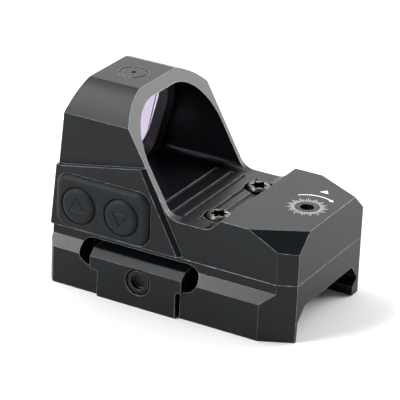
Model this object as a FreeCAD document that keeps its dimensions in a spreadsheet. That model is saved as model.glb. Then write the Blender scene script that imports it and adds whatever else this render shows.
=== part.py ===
"""Micro reflex red dot finder on a rail clamp mount, as a parametric FreeCAD document.

Millimetres. +X is the shooter's right, +Y points at the target, +Z is up. The origin is the
middle of the rail seat: the flat ceiling of the clamp mount's rail channel.

Every driving size is a cell of the spreadsheet "Dims". A Size pairs the value of such a cell,
or of a formula over several, with the expression that is bound to a property.
"""

import FreeCAD
import Part

import os
from types import SimpleNamespace

import Sketcher

DIMS = {
    # Clamp mount, measured from the rail seat
    "half_length": 22.75,
    "mount_half": 14.15,
    "mount_bottom": -5.6,
    "band_low": 0.9,
    "band_high": 2.9,
    "joint_z": 4.6,
    "body_half": 12.95,
    "corner_x": 11.4,
    "corner_run": 5.5,
    "front_chamfer": 0.8,
    # Rail channel: the standard 45 degree rail, 21.2 mm over its edges
    "seat_half": 8.6,
    "edge_x": 10.75,
    "edge_z": -2.6,
    "hook_x": 9.35,
    "hook_z": -4.0,
    "open_edge_z": -2.2,
    "open_wall_x": 10.95,
    # Notch in the left wall, where the clamp jaw sits
    "notch_x": -9.3,
    "notch_back": -5.75,
    "notch_front": 16.95,
    "notch_floor": -0.65,
    "notch_top": 3.95,
    "notch_round": 2.29,
    "slot_back": -2.75,
    "slot_front": 13.0,
    "bolt_groove_half": 2.15,
    # Clamp jaw
    "jaw_out": -14.8,
    "jaw_in": -9.6,
    "jaw_top": 2.55,
    "jaw_band_x": 1.3,
    "jaw_band_z": 1.15,
    "jaw_throat_z": -0.9,
    "jaw_back": -3.2,
    "jaw_front": 14.35,
    "jaw_foot_back": -2.2,
    "jaw_foot_front": 12.88,
    "jaw_bottom": -5.65,
    "jaw_edge_x": -10.9,
    "jaw_edge_z": -2.45,
    # Clamp bolt, which also fills a cross slot of the rail
    "bolt_y": 5.05,
    "bolt_z": -1.0,
    "bolt_r": 2.0,
    "bolt_end": -14.6,
    "bolt_cup_r": 1.35,
    "bolt_cup_deep": 0.9,
    "sink_r": 2.35,
    "sink_deep": 0.8,
    "bolt_head_r": 3.5,
    "bolt_head_in": 13.9,
    "bolt_head_out": 16.1,
    "hex_flat": 2.5,
    "hex_deep": 1.4,
    "washer_r": 3.7,
    "washer_in": 13.35,
    "spotface_r": 3.9,
    # Jaw guide pins and the springs on them
    "guide_r": 0.6,
    "guide_z": 1.3,
    "guide_back_y": 0.0,
    "guide_front_y": 10.1,
    "guide_root": -5.5,
    "guide_tip": -12.6,
    "guide_bore_end": -13.2,
    "jaw_spring_r": 1.0,
    "jaw_spring_seat": -11.6,
    # Sight housing
    "hood_top": 29.1,
    "hood_top_half": 5.7,
    "shoulder_z": 24.95,
    "shoulder_r": 16.0,
    "hood_front_y": 20.65,
    "hood_back_y": 11.05,
    "hood_foot_y": 0.55,
    "deck_z": 10.9,
    "deck_back": -6.8,
    "saddle_front_r": 3.2,
    "saddle_back_r": 2.5,
    "block_front": -9.0,
    "block_top": 13.1,
    "facet_side_y": -14.1,
    "facet_top_x": 8.06,
    "facet_low_z": 8.71,
    # Keypad panel, which stands out of the left wall
    "panel_out": -13.85,
    "panel_low": 4.95,
    "panel_back_low": -2.35,
    "panel_back_high": 5.15,
    "panel_front_high": 15.9,
    "panel_back_top": 18.9,
    "panel_lean": 28.265,
    "panel_bevel": 0.6,
    "pad_relief": 0.6,
    # Hood cavity and optical parts
    "cavity_half": 11.8,
    "cavity_right": 12.1,
    "cavity_top": 27.2,
    "cavity_top_r": 8.6,
    "cavity_foot_r": 1.3,
    "cavity_back": -4.0,
    "lens_y": 17.05,
    "lens_z": 18.6,
    "lens_tilt": 14.5,
    "pocket_half": 11.2,
    "pocket_high": 8.55,
    "pocket_top_r": 6.8,
    "pocket_low_r": 3.2,
    "lens_gap": 0.05,
    "window_half": 9.6,
    "window_high": 7.4,
    "window_top_r": 5.3,
    "window_low_r": 2.2,
    "lens_half": 11.9,
    "lens_high": 7.9,
    "lens_top_r": 7.0,
    "lens_low_r": 3.0,
    "lens_inset": 0.3,
    "bezel_thick": 1.95,
    # Deck: glare grooves and screw seats
    "groove_deep": 0.22,
    "groove_half": 9.9,
    "groove_one": 4.75,
    "groove_two": 1.8,
    "groove_three": -0.6,
    "groove_four": -3.2,
    "groove_run": 0.7,
    "screw_x": 6.85,
    "screw_y": -5.4,
    "screw_seat_z": 9.2,
    "screw_pocket_r": 2.6,
    "screw_head_r": 2.1,
    "screw_head_top": 11.35,
    "screw_bevel": 0.35,
    "screw_r": 1.25,
    "screw_end_z": 0.9,
    "screw_hole_r": 1.3,
    "torx_r": 1.7,
    "torx_deep": 1.3,
    "slot_front_y": -5.3,
    "slot_back_y": -7.6,
    "slot_low_z": 10.6,
    # Emitter bay under the rear block
    "bay_half": 8.2,
    "bay_back": -20.2,
    "bay_front": -9.6,
    "bay_top": 12.2,
    "port_half": 1.5,
    "port_low": 10.5,
    "port_high": 12.0,
    "pane_half": 1.9,
    "pane_low": 10.1,
    "pane_high": 12.15,
    "pane_back": -9.0,
    "pane_front": -8.5,
    "recess_front": -6.3,
    # Adjusting screws
    "turret_y": -17.95,
    "adjuster_r": 1.2,
    "adjuster_hole_r": 1.28,
    "adjuster_sunk": 0.7,
    "adjuster_slot": 0.5,
    "adjuster_slot_deep": 0.5,
    "collar_r": 1.7,
    "collar_thick": 0.55,
    "thread_r": 0.9,
    "thread_end_z": 5.75,
    "windage_y": -13.75,
    "windage_z": 10.4,
    "windage_end": 2.0,
    "run_gap": 0.05,
    # Elevation slide and emitter carrier
    "boss_half": 1.9,
    "boss_front": -16.2,
    "boss_back": -19.9,
    "boss_low": 6.9,
    "boss_high": 9.8,
    "slide_half": 5.5,
    "slide_front": -9.9,
    "slide_floor": 7.9,
    "ridge_top": 8.6,
    "ridge_back": -15.2,
    "ridge_front": -10.6,
    "stop_in": -7.4,
    "stop_out": -7.9,
    "stop_high": 10.3,
    "carrier_left": -4.6,
    "carrier_right": 4.9,
    "tab_thick": 0.5,
    "post_half": 1.5,
    "post_back": -11.6,
    "post_high": 11.7,
    "fork_in": 2.2,
    "fork_out": 4.8,
    "fork_high": 11.4,
    "fork_back": -15.1,
    "fork_front": -12.4,
    "fork_slot": 1.0,
    "nut_half": 1.15,
    "nut_high": 1.05,
    "led_half": 0.55,
    "led_low": 10.85,
    "led_high": 11.55,
    "led_front": -10.0,
    "spring_r": 1.65,
    "spring_wire": 0.3,
    "side_spring_r": 0.7,
    "side_spring_z": 9.4,
    "side_spring_y": -13.0,
    "tab_back": -14.2,
    "tab_front": -11.8,
    # Main board and base gasket
    "board_low": 4.65,
    "board_high": 5.45,
    "board_half": 7.8,
    "board_back": -20.0,
    "board_front": -9.8,
    "gasket_out": 9.6,
    "gasket_back": -21.4,
    "gasket_front": -8.3,
    "gasket_wide": 0.7,
    "gasket_top": 5.1,
    "locator_r": 0.9,
    "locator_low": 3.1,
    "locator_high": 6.4,
    "locator_rear_x": 10.75,
    "locator_rear_y": -19.5,
    "locator_fore_x": 7.6,
    "locator_fore_y": -2.3,
    # Keypad
    "pad_y": 12.45,
    "pad_z": 10.0,
    "pad_half_y": 9.0,
    "pad_half_z": 4.85,
    "pad_round": 2.4,
    "pad_in": -12.85,
    "pad_out": -14.75,
    "up_y": 16.8,
    "down_y": 8.6,
    "button_z": 9.9,
    "button_r": 3.2,
    "button_hole_r": 3.3,
    "button_out": -15.1,
    "button_in": -13.3,
    "plunger_z": 8.6,
    "plunger_r": 0.9,
    "plunger_tip": -12.62,
    # Switch bay behind the keypad
    "switch_bay_in": -9.75,
    "switch_bay_back": 5.6,
    "switch_bay_front": 19.9,
    "switch_bay_low": 5.7,
    "switch_bay_high": 10.2,
    "switch_half": 1.4,
    "switch_in": -11.1,
    "switch_out": -11.9,
    "knob_out": -12.2,
    "knob_r": 0.7,
    "switch_board_in": -10.4,
    # Battery tray, cell and contacts
    "tray_y": 10.45,
    "tray_half": 10.75,
    "slot_low": 5.5,
    "slot_high": 9.6,
    "slot_left": -9.15,
    "slot_side_gap": 0.15,
    "door_in": 11.6,
    "door_out": 13.15,
    "door_half": 11.3,
    "door_low": 5.0,
    "door_high": 10.35,
    "door_gap": 0.08,
    "door_round": 1.2,
    "cell_x": 1.3,
    "cell_r": 10.0,
    "cell_low": 6.1,
    "cell_high": 9.1,
    "cell_gap": 0.12,
    "tray_low": 5.75,
    "tray_high": 9.2,
    "tray_left": -8.9,
    "grip_half": 5.0,
    "grip_deep": 0.7,
    "grip_high": 1.0,
    "seal_wide": 0.7,
    "seal_out": 11.5,
    "contact_half": 2.0,
    "contact_thick": 0.2,
    # Hood badge: a plain ring and dot
    "badge_y": 15.6,
    "badge_out": 2.6,
    "badge_in": 2.1,
    "badge_dot": 0.6,
    "badge_deep": 0.2,
    # Cutting tools reach this far past the solid they cut
    "over": 2.0,
    "far": 40.0,
}

PLANE_ROLE = {"XY": "XY_Plane", "XZ": "XZ_Plane", "YZ": "YZ_Plane"}
AXIS_TURN = {
    "X": FreeCAD.Rotation(FreeCAD.Vector(0, 1, 0), 90),
    "Y": FreeCAD.Rotation(FreeCAD.Vector(1, 0, 0), -90),
    "Z": FreeCAD.Rotation(),
}
SIDES = (-1, 1)

doc = FreeCAD.newDocument("RedDotFinder")
sub_parts = []


class Size:
    """A length or angle: its present value, and the sheet expression that gives it."""

    def __init__(self, value, text):
        self.value = value
        self.text = text

    @staticmethod
    def of(item):
        """Return item as a Size, whether it is one already or a plain number."""
        return item if isinstance(item, Size) else Size(float(item), repr(item))

    def __add__(self, other):
        other = Size.of(other)
        return Size(self.value + other.value, f"({self.text} + {other.text})")

    def __sub__(self, other):
        other = Size.of(other)
        return Size(self.value - other.value, f"({self.text} - {other.text})")

    def __mul__(self, other):
        other = Size.of(other)
        return Size(self.value * other.value, f"({self.text} * {other.text})")

    def __truediv__(self, other):
        other = Size.of(other)
        return Size(self.value / other.value, f"({self.text} / {other.text})")

    def __neg__(self):
        return self * -1


D = SimpleNamespace(**{alias: Size(value, f"Dims.{alias}") for alias, value in DIMS.items()})


def make_sheet():
    """Write every driving dimension to the sheet, one aliased cell each."""
    sheet = doc.addObject("Spreadsheet::Sheet", "Dims")
    for row, (alias, value) in enumerate(DIMS.items(), start=1):
        sheet.set(f"A{row}", alias)
        sheet.set(f"B{row}", str(value))
        sheet.setAlias(f"B{row}", alias)
    doc.recompute()


# ---------------------------------------------------------------- building blocks


def bind(obj, path, size):
    """Bind one property of obj to a size."""
    obj.setExpression(path, Size.of(size).text)


def bind_place(obj, x, y, z):
    """Bind the position of obj to three sizes."""
    bind(obj, "Placement.Base.x", x)
    bind(obj, "Placement.Base.y", y)
    bind(obj, "Placement.Base.z", z)


def box(name, x, y, z):
    """Return a box that spans the (low, high) pairs x, y and z."""
    solid = doc.addObject("Part::Box", name)
    bind(solid, "Length", x[1] - x[0])
    bind(solid, "Width", y[1] - y[0])
    bind(solid, "Height", z[1] - z[0])
    bind_place(solid, x[0], y[0], z[0])
    return solid


def turn_on_axis(solid, axis, centre, start):
    """Stand a round solid on an axis through centre, from start along that axis."""
    solid.Placement = FreeCAD.Placement(FreeCAD.Vector(), AXIS_TURN[axis])
    first, second = centre
    spots = {
        "X": (start, first, second),
        "Y": (first, start, second),
        "Z": (first, second, start),
    }
    bind_place(solid, *spots[axis])
    return solid


def cylinder(name, axis, centre, radius, span):
    """Return a cylinder along axis over the (low, high) span; centre is its other two places."""
    solid = doc.addObject("Part::Cylinder", name)
    bind(solid, "Radius", radius)
    bind(solid, "Height", span[1] - span[0])
    return turn_on_axis(solid, axis, centre, span[0])


def cone(name, axis, centre, radii, span):
    """Return a cone frustum along axis, with one radius at each end of its span."""
    solid = doc.addObject("Part::Cone", name)
    bind(solid, "Radius1", radii[0])
    bind(solid, "Radius2", radii[1])
    bind(solid, "Height", span[1] - span[0])
    return turn_on_axis(solid, axis, centre, span[0])


def ring(name, axis, centre, radii, span):
    """Return a ring of inner and outer radius along axis."""
    outer = cylinder(f"{name}_outer", axis, centre, radii[1], span)
    inner = cylinder(f"{name}_inner", axis, centre, radii[0], (span[0] - D.over, span[1] + D.over))
    return cut(name, outer, inner)


def fuse(name, *solids):
    """Return the union of the solids."""
    union = doc.addObject("Part::MultiFuse", name)
    union.Shapes = list(solids)
    union.Refine = True
    return union


def cut(name, base, *tools):
    """Return base with every tool cut from it."""
    result = doc.addObject("Part::Cut", name)
    result.Base = base
    result.Tool = tools[0] if len(tools) == 1 else fuse(f"{name}_tools", *tools)
    result.Refine = True
    return result


def common(name, first, second):
    """Return what two solids share."""
    result = doc.addObject("Part::Common", name)
    result.Base = first
    result.Tool = second
    result.Refine = True
    return result


def draw_outline(sketch, points, arcs):
    """Draw a closed outline; arcs maps an edge's number to the radius of its outward bulge."""
    corners = [FreeCAD.Vector(u.value, v.value, 0) for u, v in points]
    for index, start in enumerate(corners):
        end = corners[(index + 1) % len(corners)]
        edge = Part.LineSegment(start, end)
        if index in arcs:
            edge = bulge(start, end, arcs[index].value)
        sketch.addGeometry(edge, False)
    for index in range(len(corners)):
        follower = (index + 1) % len(corners)
        sketch.addConstraint(Sketcher.Constraint("Coincident", index, 2, follower, 1))
    for index, (u, v) in enumerate(points):
        hold(sketch, Sketcher.Constraint("DistanceX", -1, 1, index, 1, u.value), u)
        hold(sketch, Sketcher.Constraint("DistanceY", -1, 1, index, 1, v.value), v)
    for index, radius in arcs.items():
        hold(sketch, Sketcher.Constraint("Radius", index, radius.value), radius)


def bulge(start, end, radius):
    """Return the short arc from start to end, bulging to the right of the way there."""
    chord = end - start
    middle = (start + end) * 0.5
    rise = radius - (radius * radius - chord.Length * chord.Length / 4) ** 0.5
    outward = FreeCAD.Vector(chord.y, -chord.x, 0).normalize()
    return Part.Arc(start, middle + outward * rise, end)


def hold(sketch, constraint, size):
    """Add a dimension to the sketch and bind it to a size."""
    number = sketch.addConstraint(constraint)
    bind(sketch, f"Constraints[{number}]", size)


def round_corner(sketch, edge, radius):
    """Round the corner at the end of an edge, keeping the corner's own dimensions."""
    sketch.fillet(edge, 2, radius.value, True, True)
    kinds = [geometry.TypeId for geometry in sketch.Geometry]
    newest = max(index for index, kind in enumerate(kinds) if kind == "Part::GeomArcOfCircle")
    hold(sketch, Sketcher.Constraint("Radius", newest, radius.value), radius)


def prism(name, plane, points, span, rounds=None, arcs=None):
    """Return a body: an anticlockwise outline on an origin plane, padded over span.

    rounds maps a corner's number to its fillet radius, arcs an edge's number to its radius.
    """
    body = doc.addObject("PartDesign::Body", name)
    origin = next(f for f in body.Origin.OriginFeatures if f.Role == PLANE_ROLE[plane])
    sketch = body.newObject("Sketcher::SketchObject", f"{name}_outline")
    sketch.AttachmentSupport = [(origin, "")]
    sketch.MapMode = "FlatFace"
    bind(sketch, "AttachmentOffset.Base.z", -span[1] if plane == "XZ" else span[0])
    draw_outline(sketch, points, arcs or {})
    for corner, radius in (rounds or {}).items():
        round_corner(sketch, (corner - 1) % len(points), radius)
    pad = body.newObject("PartDesign::Pad", f"{name}_pad")
    pad.Profile = sketch
    bind(pad, "Length", span[1] - span[0])
    return body


def rectangle(u, v):
    """Return the four corners of a rectangle over the (low, high) pairs u and v."""
    return [(u[0], v[0]), (u[1], v[0]), (u[1], v[1]), (u[0], v[1])]


def four(low, high):
    """Return fillet radii for a rectangle's two low corners and its two high ones."""
    return {0: low, 1: low, 2: high, 3: high}


def about(centre, half):
    """Return the (low, high) pair that lies half to each side of centre."""
    return (centre - half, centre + half)


def publish(solid, label):
    """Take a solid as the finished sub-part that label names."""
    solid.Label = label
    sub_parts.append(solid)
    return solid


ZERO = D.over - D.over


# ---------------------------------------------------------------- clamp mount


def corner_cutter(name, side):
    """Return the tool that takes off one rear corner of the mount and of the sight."""
    out = D.mount_half + D.over
    back = -D.half_length
    points = [
        (D.corner_x, back),
        (D.corner_x, back - D.over),
        (out, back - D.over),
        (out, back + D.corner_run),
        (D.mount_half, back + D.corner_run),
    ]
    points = [(u * side, v) for u, v in points]
    if side < 0:
        points.reverse()
    return prism(name, "XY", points, (-D.far, D.far))


def front_chamfer(name, side):
    """Return the tool that breaks one front corner of the mount."""
    points = [
        (D.mount_half - D.front_chamfer, D.half_length),
        (D.mount_half, D.half_length - D.front_chamfer),
        (D.mount_half + D.over, D.half_length - D.front_chamfer),
        (D.mount_half + D.over, D.half_length + D.over),
        (D.mount_half - D.front_chamfer, D.half_length + D.over),
    ]
    points = [(u * side, v) for u, v in points]
    if side < 0:
        points.reverse()
    return prism(name, "XY", points, (-D.far, D.far))


def screw_holes(name, radius, span):
    """Return two upright cylinders on the mounting screws' axes."""
    holes = [
        cylinder(f"{name}_{index}", "Z", (D.screw_x * side, D.screw_y), radius, span)
        for index, side in enumerate(SIDES)
    ]
    return fuse(name, *holes)


def locator_posts(name, radius, span):
    """Return four upright cylinders on the locating pins' axes."""
    spots = ((D.locator_rear_x, D.locator_rear_y), (D.locator_fore_x, D.locator_fore_y))
    posts = [
        cylinder(f"{name}_{pair}_{index}", "Z", (x * side, y), radius, span)
        for pair, (x, y) in enumerate(spots)
        for index, side in enumerate(SIDES)
    ]
    return fuse(name, *posts)


def guide_rods(name, radius, span):
    """Return two cylinders across the mount on the jaw guide pins' axes."""
    rods = [
        cylinder(f"{name}_{index}", "X", (y, D.guide_z), radius, span)
        for index, y in enumerate((D.guide_back_y, D.guide_front_y))
    ]
    return fuse(name, *rods)


def make_rail_mount():
    """The mount: a long block with a rail channel below and a notch for the jaw on its left."""
    section = [
        (-D.body_half, D.joint_z),
        (-D.body_half, D.band_high),
        (-D.mount_half, D.band_low),
        (-D.mount_half, D.mount_bottom),
        (-D.open_wall_x, D.mount_bottom),
        (-D.edge_x, D.open_edge_z),
        (-D.seat_half, ZERO),
        (D.seat_half, ZERO),
        (D.edge_x, D.edge_z),
        (D.hook_x, D.hook_z),
        (D.hook_x, D.mount_bottom),
        (D.mount_half, D.mount_bottom),
        (D.mount_half, D.band_low),
        (D.body_half, D.band_high),
        (D.body_half, D.joint_z),
    ]
    block = prism("mount_block", "XZ", section, (-D.half_length, D.half_length))
    notch = prism(
        "mount_notch",
        "YZ",
        rectangle((D.notch_back, D.notch_front), (D.notch_floor, D.notch_top)),
        (-D.far, D.notch_x),
        rounds=four(D.notch_round, D.notch_round),
    )
    slot = box(
        "mount_slot",
        (-D.far, D.notch_x),
        (D.slot_back, D.slot_front),
        (D.mount_bottom - D.over, D.notch_top - D.notch_round),
    )
    bolt_line = (D.bolt_y, D.bolt_z)
    bolt_groove = box(
        "mount_bolt_groove",
        (-D.seat_half, D.seat_half),
        about(D.bolt_y, D.bolt_groove_half),
        (-D.over, D.bolt_z + D.bolt_groove_half),
    )
    mount = cut(
        "mount_body",
        block,
        notch,
        slot,
        cylinder("mount_bolt_bore", "X", bolt_line, D.bolt_r + D.run_gap, (-D.far, D.far)),
        bolt_groove,
        cylinder("mount_spotface", "X", bolt_line, D.spotface_r, (D.washer_in, D.far)),
        guide_rods("mount_guides", D.guide_r, (D.guide_tip, D.guide_root)),
        screw_holes("mount_screws", D.screw_r, (D.screw_end_z, D.joint_z + D.over)),
        locator_posts("mount_locators", D.locator_r, (D.locator_low, D.joint_z + D.over)),
        *[corner_cutter(f"mount_corner_{index}", side) for index, side in enumerate(SIDES)],
        *[front_chamfer(f"mount_chamfer_{index}", side) for index, side in enumerate(SIDES)],
    )
    publish(mount, "rail_mount")


def make_clamp_jaw():
    """The sliding jaw: a bar whose lower lip hooks under the rail's left edge."""
    section = [
        (D.jaw_out, D.jaw_bottom),
        (-D.hook_x, D.jaw_bottom),
        (-D.hook_x, D.hook_z),
        (D.jaw_edge_x, D.jaw_edge_z),
        (D.jaw_in, D.jaw_throat_z),
        (D.jaw_in, D.jaw_top),
        (D.jaw_out + D.jaw_band_x, D.jaw_top),
        (D.jaw_out, D.jaw_top - D.jaw_band_z),
    ]
    bar = prism("jaw_bar", "XZ", section, (D.jaw_back, D.jaw_front))
    foot_z = (D.jaw_bottom - D.over, D.jaw_throat_z)
    shelf_z = (D.jaw_bottom - D.over, D.notch_floor + D.run_gap)
    back_y = (D.jaw_back - D.over, D.jaw_foot_back)
    front_y = (D.jaw_foot_front, D.jaw_front + D.over)
    shelf_x = (-D.mount_half - D.run_gap, ZERO)
    bolt_line = (D.bolt_y, D.bolt_z)
    sink_span = (D.jaw_out - D.run_gap, D.jaw_out + D.sink_deep)
    jaw = cut(
        "jaw_body",
        bar,
        box("jaw_back_step", (-D.far, ZERO), back_y, foot_z),
        box("jaw_front_step", (-D.far, ZERO), front_y, foot_z),
        box("jaw_back_shelf", shelf_x, back_y, shelf_z),
        box("jaw_front_shelf", shelf_x, front_y, shelf_z),
        cylinder("jaw_bolt_bore", "X", bolt_line, D.bolt_r + D.run_gap, (-D.far, ZERO)),
        cone("jaw_sink", "X", bolt_line, (D.sink_r, D.bolt_r), sink_span),
        guide_rods("jaw_guides", D.guide_r + D.run_gap, (D.guide_bore_end, ZERO)),
        guide_rods("jaw_spring_seats", D.jaw_spring_r + D.run_gap, (D.jaw_spring_seat, ZERO)),
    )
    publish(jaw, "clamp_jaw")


def make_clamp_hardware():
    """The cross bolt with its washer, the jaw's guide pins and the springs that open it."""
    line = (D.bolt_y, D.bolt_z)
    shank = cylinder("bolt_shank", "X", line, D.bolt_r, (D.bolt_end, D.bolt_head_out))
    head = cylinder("bolt_head", "X", line, D.bolt_head_r, (D.bolt_head_in, D.bolt_head_out))
    cup_span = (D.bolt_end - D.over, D.bolt_end + D.bolt_cup_deep)
    cup = cylinder("bolt_cup", "X", line, D.bolt_cup_r, cup_span)
    socket = doc.addObject("Part::Prism", "bolt_socket")
    bind(socket, "Circumradius", D.hex_flat / 3 ** 0.5)
    bind(socket, "Height", D.hex_deep + D.over)
    turn_on_axis(socket, "X", line, D.bolt_head_out - D.hex_deep)
    bolt = cut("bolt_body", fuse("bolt_blank", shank, head), cup, socket)
    publish(bolt, "clamp_bolt")
    radii = (D.bolt_r + D.run_gap, D.washer_r)
    span = (D.washer_in, D.bolt_head_in - D.run_gap)
    publish(ring("washer_body", "X", line, radii, span), "clamp_washer")
    pins = guide_rods("guide_pin_pair", D.guide_r, (D.guide_tip, D.guide_root))
    publish(pins, "jaw_guide_pins")
    for label, y in (("jaw_spring_rear", D.guide_back_y), ("jaw_spring_front", D.guide_front_y)):
        radii = (D.guide_r + D.run_gap, D.jaw_spring_r)
        spring = ring(f"{label}_body", "X", (y, D.guide_z), radii, (D.jaw_spring_seat, D.notch_x))
        publish(spring, label)


# ---------------------------------------------------------------- sight housing


def side_outline():
    """Return the sight's side view: rear block, saddle, and the hood's slanted ends."""
    foot = D.hood_foot_y
    return [
        (-D.half_length, D.joint_z),
        (D.half_length, D.joint_z),
        (D.hood_front_y, D.hood_top),
        (D.hood_back_y, D.hood_top),
        (foot, D.deck_z),
        (D.deck_back, D.deck_z),
        (D.block_front, D.block_top),
        (-D.half_length, D.block_top),
    ]


def hood_outline():
    """Return the sight's outline across: upright sides, round shoulders and a flat top."""
    return [
        (-D.body_half, D.joint_z),
        (D.body_half, D.joint_z),
        (D.body_half, D.shoulder_z),
        (D.hood_top_half, D.hood_top),
        (-D.hood_top_half, D.hood_top),
        (-D.body_half, D.shoulder_z),
    ]


def facet_cutter(name, side):
    """Return the tetrahedron that takes the slanted facet off one rear top corner.

    Its three legs run from the corner along the axes. The corner is moved out by a margin, and
    the legs grow with it, so that the slanted face stays where it is.
    """
    margin = D.over.value
    legs = (
        D.body_half.value - D.facet_top_x.value,
        D.facet_side_y.value + D.half_length.value,
        D.block_top.value - D.facet_low_z.value,
    )
    growth = 1 + margin * sum(1 / leg for leg in legs)
    corner = FreeCAD.Vector(
        side * (D.body_half.value + margin),
        -D.half_length.value - margin,
        D.block_top.value + margin,
    )
    tips = [
        corner + FreeCAD.Vector(-side * legs[0] * growth, 0, 0),
        corner + FreeCAD.Vector(0, legs[1] * growth, 0),
        corner + FreeCAD.Vector(0, 0, -legs[2] * growth),
    ]
    triangles = [(corner, tips[0], tips[1]), (corner, tips[1], tips[2])]
    triangles += [(corner, tips[2], tips[0]), tuple(tips)]
    faces = [Part.Face(Part.makePolygon([*corners, corners[0]])) for corners in triangles]
    solid = Part.makeSolid(Part.makeShell(faces))
    feature = doc.addObject("Part::Feature", name)
    feature.Shape = solid if solid.Volume > 0 else solid.reversed()
    return feature


def panel_edge_cutter():
    """Return the tool that bevels the keypad panel's slanted rear edge down to the wall."""
    proud = D.panel_out + D.body_half
    reach = proud * 2 - D.body_half
    points = [(-D.body_half, ZERO), (reach, D.panel_bevel * 2), (reach, -D.over)]
    tool = prism("panel_edge", "XY", points, (-D.over, D.far))
    tool.Placement = FreeCAD.Placement(
        FreeCAD.Vector(), FreeCAD.Rotation(FreeCAD.Vector(-1, 0, 0), D.panel_lean.value)
    )
    bind(tool, "Placement.Rotation.Angle", D.panel_lean)
    bind_place(tool, ZERO, D.panel_back_low, D.panel_low)
    return tool


def make_shell():
    """Return the sight's outside: side view and cross view, with the keypad panel on the left."""
    wide = (D.panel_out, D.mount_half)
    rounds = {4: D.saddle_front_r, 5: D.saddle_back_r}
    side_view = prism("sight_side", "YZ", side_outline(), wide, rounds=rounds)
    arcs = {2: D.shoulder_r, 4: D.shoulder_r}
    hull = prism("sight_across", "XZ", hood_outline(), (-D.far, D.far), arcs=arcs)
    panel_points = [
        (D.panel_back_low, D.panel_low),
        (D.half_length + D.over, D.panel_low),
        (D.half_length + D.over, D.panel_front_high),
        (D.hood_front_y, D.panel_front_high),
        (D.panel_back_high, D.panel_back_top),
    ]
    panel = prism("sight_panel", "YZ", panel_points, (D.panel_out, -D.cavity_half - D.pad_relief))
    panel = cut("sight_panel_edged", panel, panel_edge_cutter())
    shell = common("sight_shell", side_view, fuse("sight_sections", hull, panel))
    corners = [corner_cutter(f"sight_corner_{index}", side) for index, side in enumerate(SIDES)]
    facets = [facet_cutter(f"sight_facet_{index}", side) for index, side in enumerate(SIDES)]
    return cut("sight_outside", shell, *corners, *facets)


def tilt(body):
    """Turn a body made about the lens's middle to the lens's own tilt and place."""
    body.Placement = FreeCAD.Placement(
        FreeCAD.Vector(), FreeCAD.Rotation(FreeCAD.Vector(1, 0, 0), D.lens_tilt.value)
    )
    bind(body, "Placement.Rotation.Angle", D.lens_tilt)
    bind_place(body, ZERO, D.lens_y, D.lens_z)
    return body


def lens_prism(name, half, high, rounds, span):
    """Return a round-cornered block about the lens's axis."""
    points = rectangle((-half, half), (-high, high))
    return tilt(prism(name, "XZ", points, span, rounds=four(rounds[0], rounds[1])))


def hood_cuts():
    """Return the tools that open the hood: its cavity, the bezel's seat and the lens's seat."""
    cavity = prism(
        "hood_cavity",
        "XZ",
        rectangle((-D.cavity_half, D.cavity_right), (D.deck_z, D.cavity_top)),
        (D.cavity_back, D.lens_y),
        rounds=four(D.cavity_foot_r, D.cavity_top_r),
    )
    slanted = tilt(
        prism(
            "cavity_front",
            "XZ",
            rectangle((-D.far, D.far), (-D.far, D.far)),
            (-D.bezel_thick, D.far),
        )
    )
    cavity = cut("hood_cavity_short", cavity, slanted)
    rounds = (D.pocket_low_r, D.pocket_top_r)
    span = (-D.bezel_thick - D.lens_gap, ZERO)
    bezel_seat = lens_prism("bezel_seat", D.pocket_half, D.pocket_high, rounds, span)
    rounds = (D.lens_low_r, D.lens_top_r)
    half, high = D.lens_half + D.lens_gap, D.lens_high + D.lens_gap
    lens_seat = lens_prism("lens_seat", half, high, rounds, (-D.lens_gap, D.far))
    return [cavity, bezel_seat, lens_seat]


def deck_cuts():
    """Return the tools for the deck: glare grooves, screw pockets and the slot between them."""
    starts = (D.groove_one, D.groove_two, D.groove_three, D.groove_four)
    grooves = [
        prism(
            f"deck_groove_{index}",
            "YZ",
            [
                (y, D.deck_z - D.groove_deep),
                (y, D.deck_z + D.over),
                (y - D.groove_run, D.deck_z + D.over),
                (y - D.groove_run, D.deck_z),
            ],
            (-D.groove_half, D.groove_half),
        )
        for index, y in enumerate(starts)
    ]
    sky = D.block_top + D.over
    slot = box(
        "deck_slot",
        (-D.screw_x, D.screw_x),
        (D.slot_back_y, D.slot_front_y),
        (D.slot_low_z, sky),
    )
    return [
        *grooves,
        slot,
        screw_holes("deck_screw_pockets", D.screw_pocket_r, (D.screw_seat_z, sky)),
        screw_holes("deck_screw_holes", D.screw_hole_r, (ZERO, sky)),
    ]


def emitter_cuts():
    """Return the tools for the emitter bay, its front port, and the adjusting screws' bores."""
    pane_x = (-D.pane_half - D.run_gap, D.pane_half + D.run_gap)
    sky = D.block_top + D.over
    return [
        box("bay", (-D.bay_half, D.bay_half), (D.bay_back, D.bay_front), (ZERO, D.bay_top)),
        box(
            "port",
            (-D.port_half, D.port_half),
            (D.bay_front - D.over, D.pane_front),
            (D.port_low, D.port_high),
        ),
        box(
            "pane_seat",
            pane_x,
            (D.pane_back - D.run_gap, D.recess_front),
            (D.pane_low - D.run_gap, D.pane_high + D.run_gap),
        ),
        box("pane_recess", pane_x, (D.pane_front, D.recess_front), (D.pane_low, sky)),
        cylinder("turret", "Z", (ZERO, D.turret_y), D.adjuster_hole_r, (D.joint_z, sky)),
        cylinder(
            "windage", "X", (D.windage_y, D.windage_z), D.adjuster_hole_r, (D.windage_end, D.far)
        ),
    ]


def keypad_cuts():
    """Return the tools for the keypad's seat and the switch bay behind it."""
    seat = prism(
        "keypad_seat",
        "YZ",
        rectangle(about(D.pad_y, D.pad_half_y), about(D.pad_z, D.pad_half_z)),
        (-D.far, D.pad_in),
        rounds=four(D.pad_round, D.pad_round),
    )
    bay = box(
        "switch_bay",
        (-D.far, D.switch_bay_in),
        (D.switch_bay_back, D.switch_bay_front),
        (D.switch_bay_low, D.switch_bay_high),
    )
    return [seat, bay]


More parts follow.
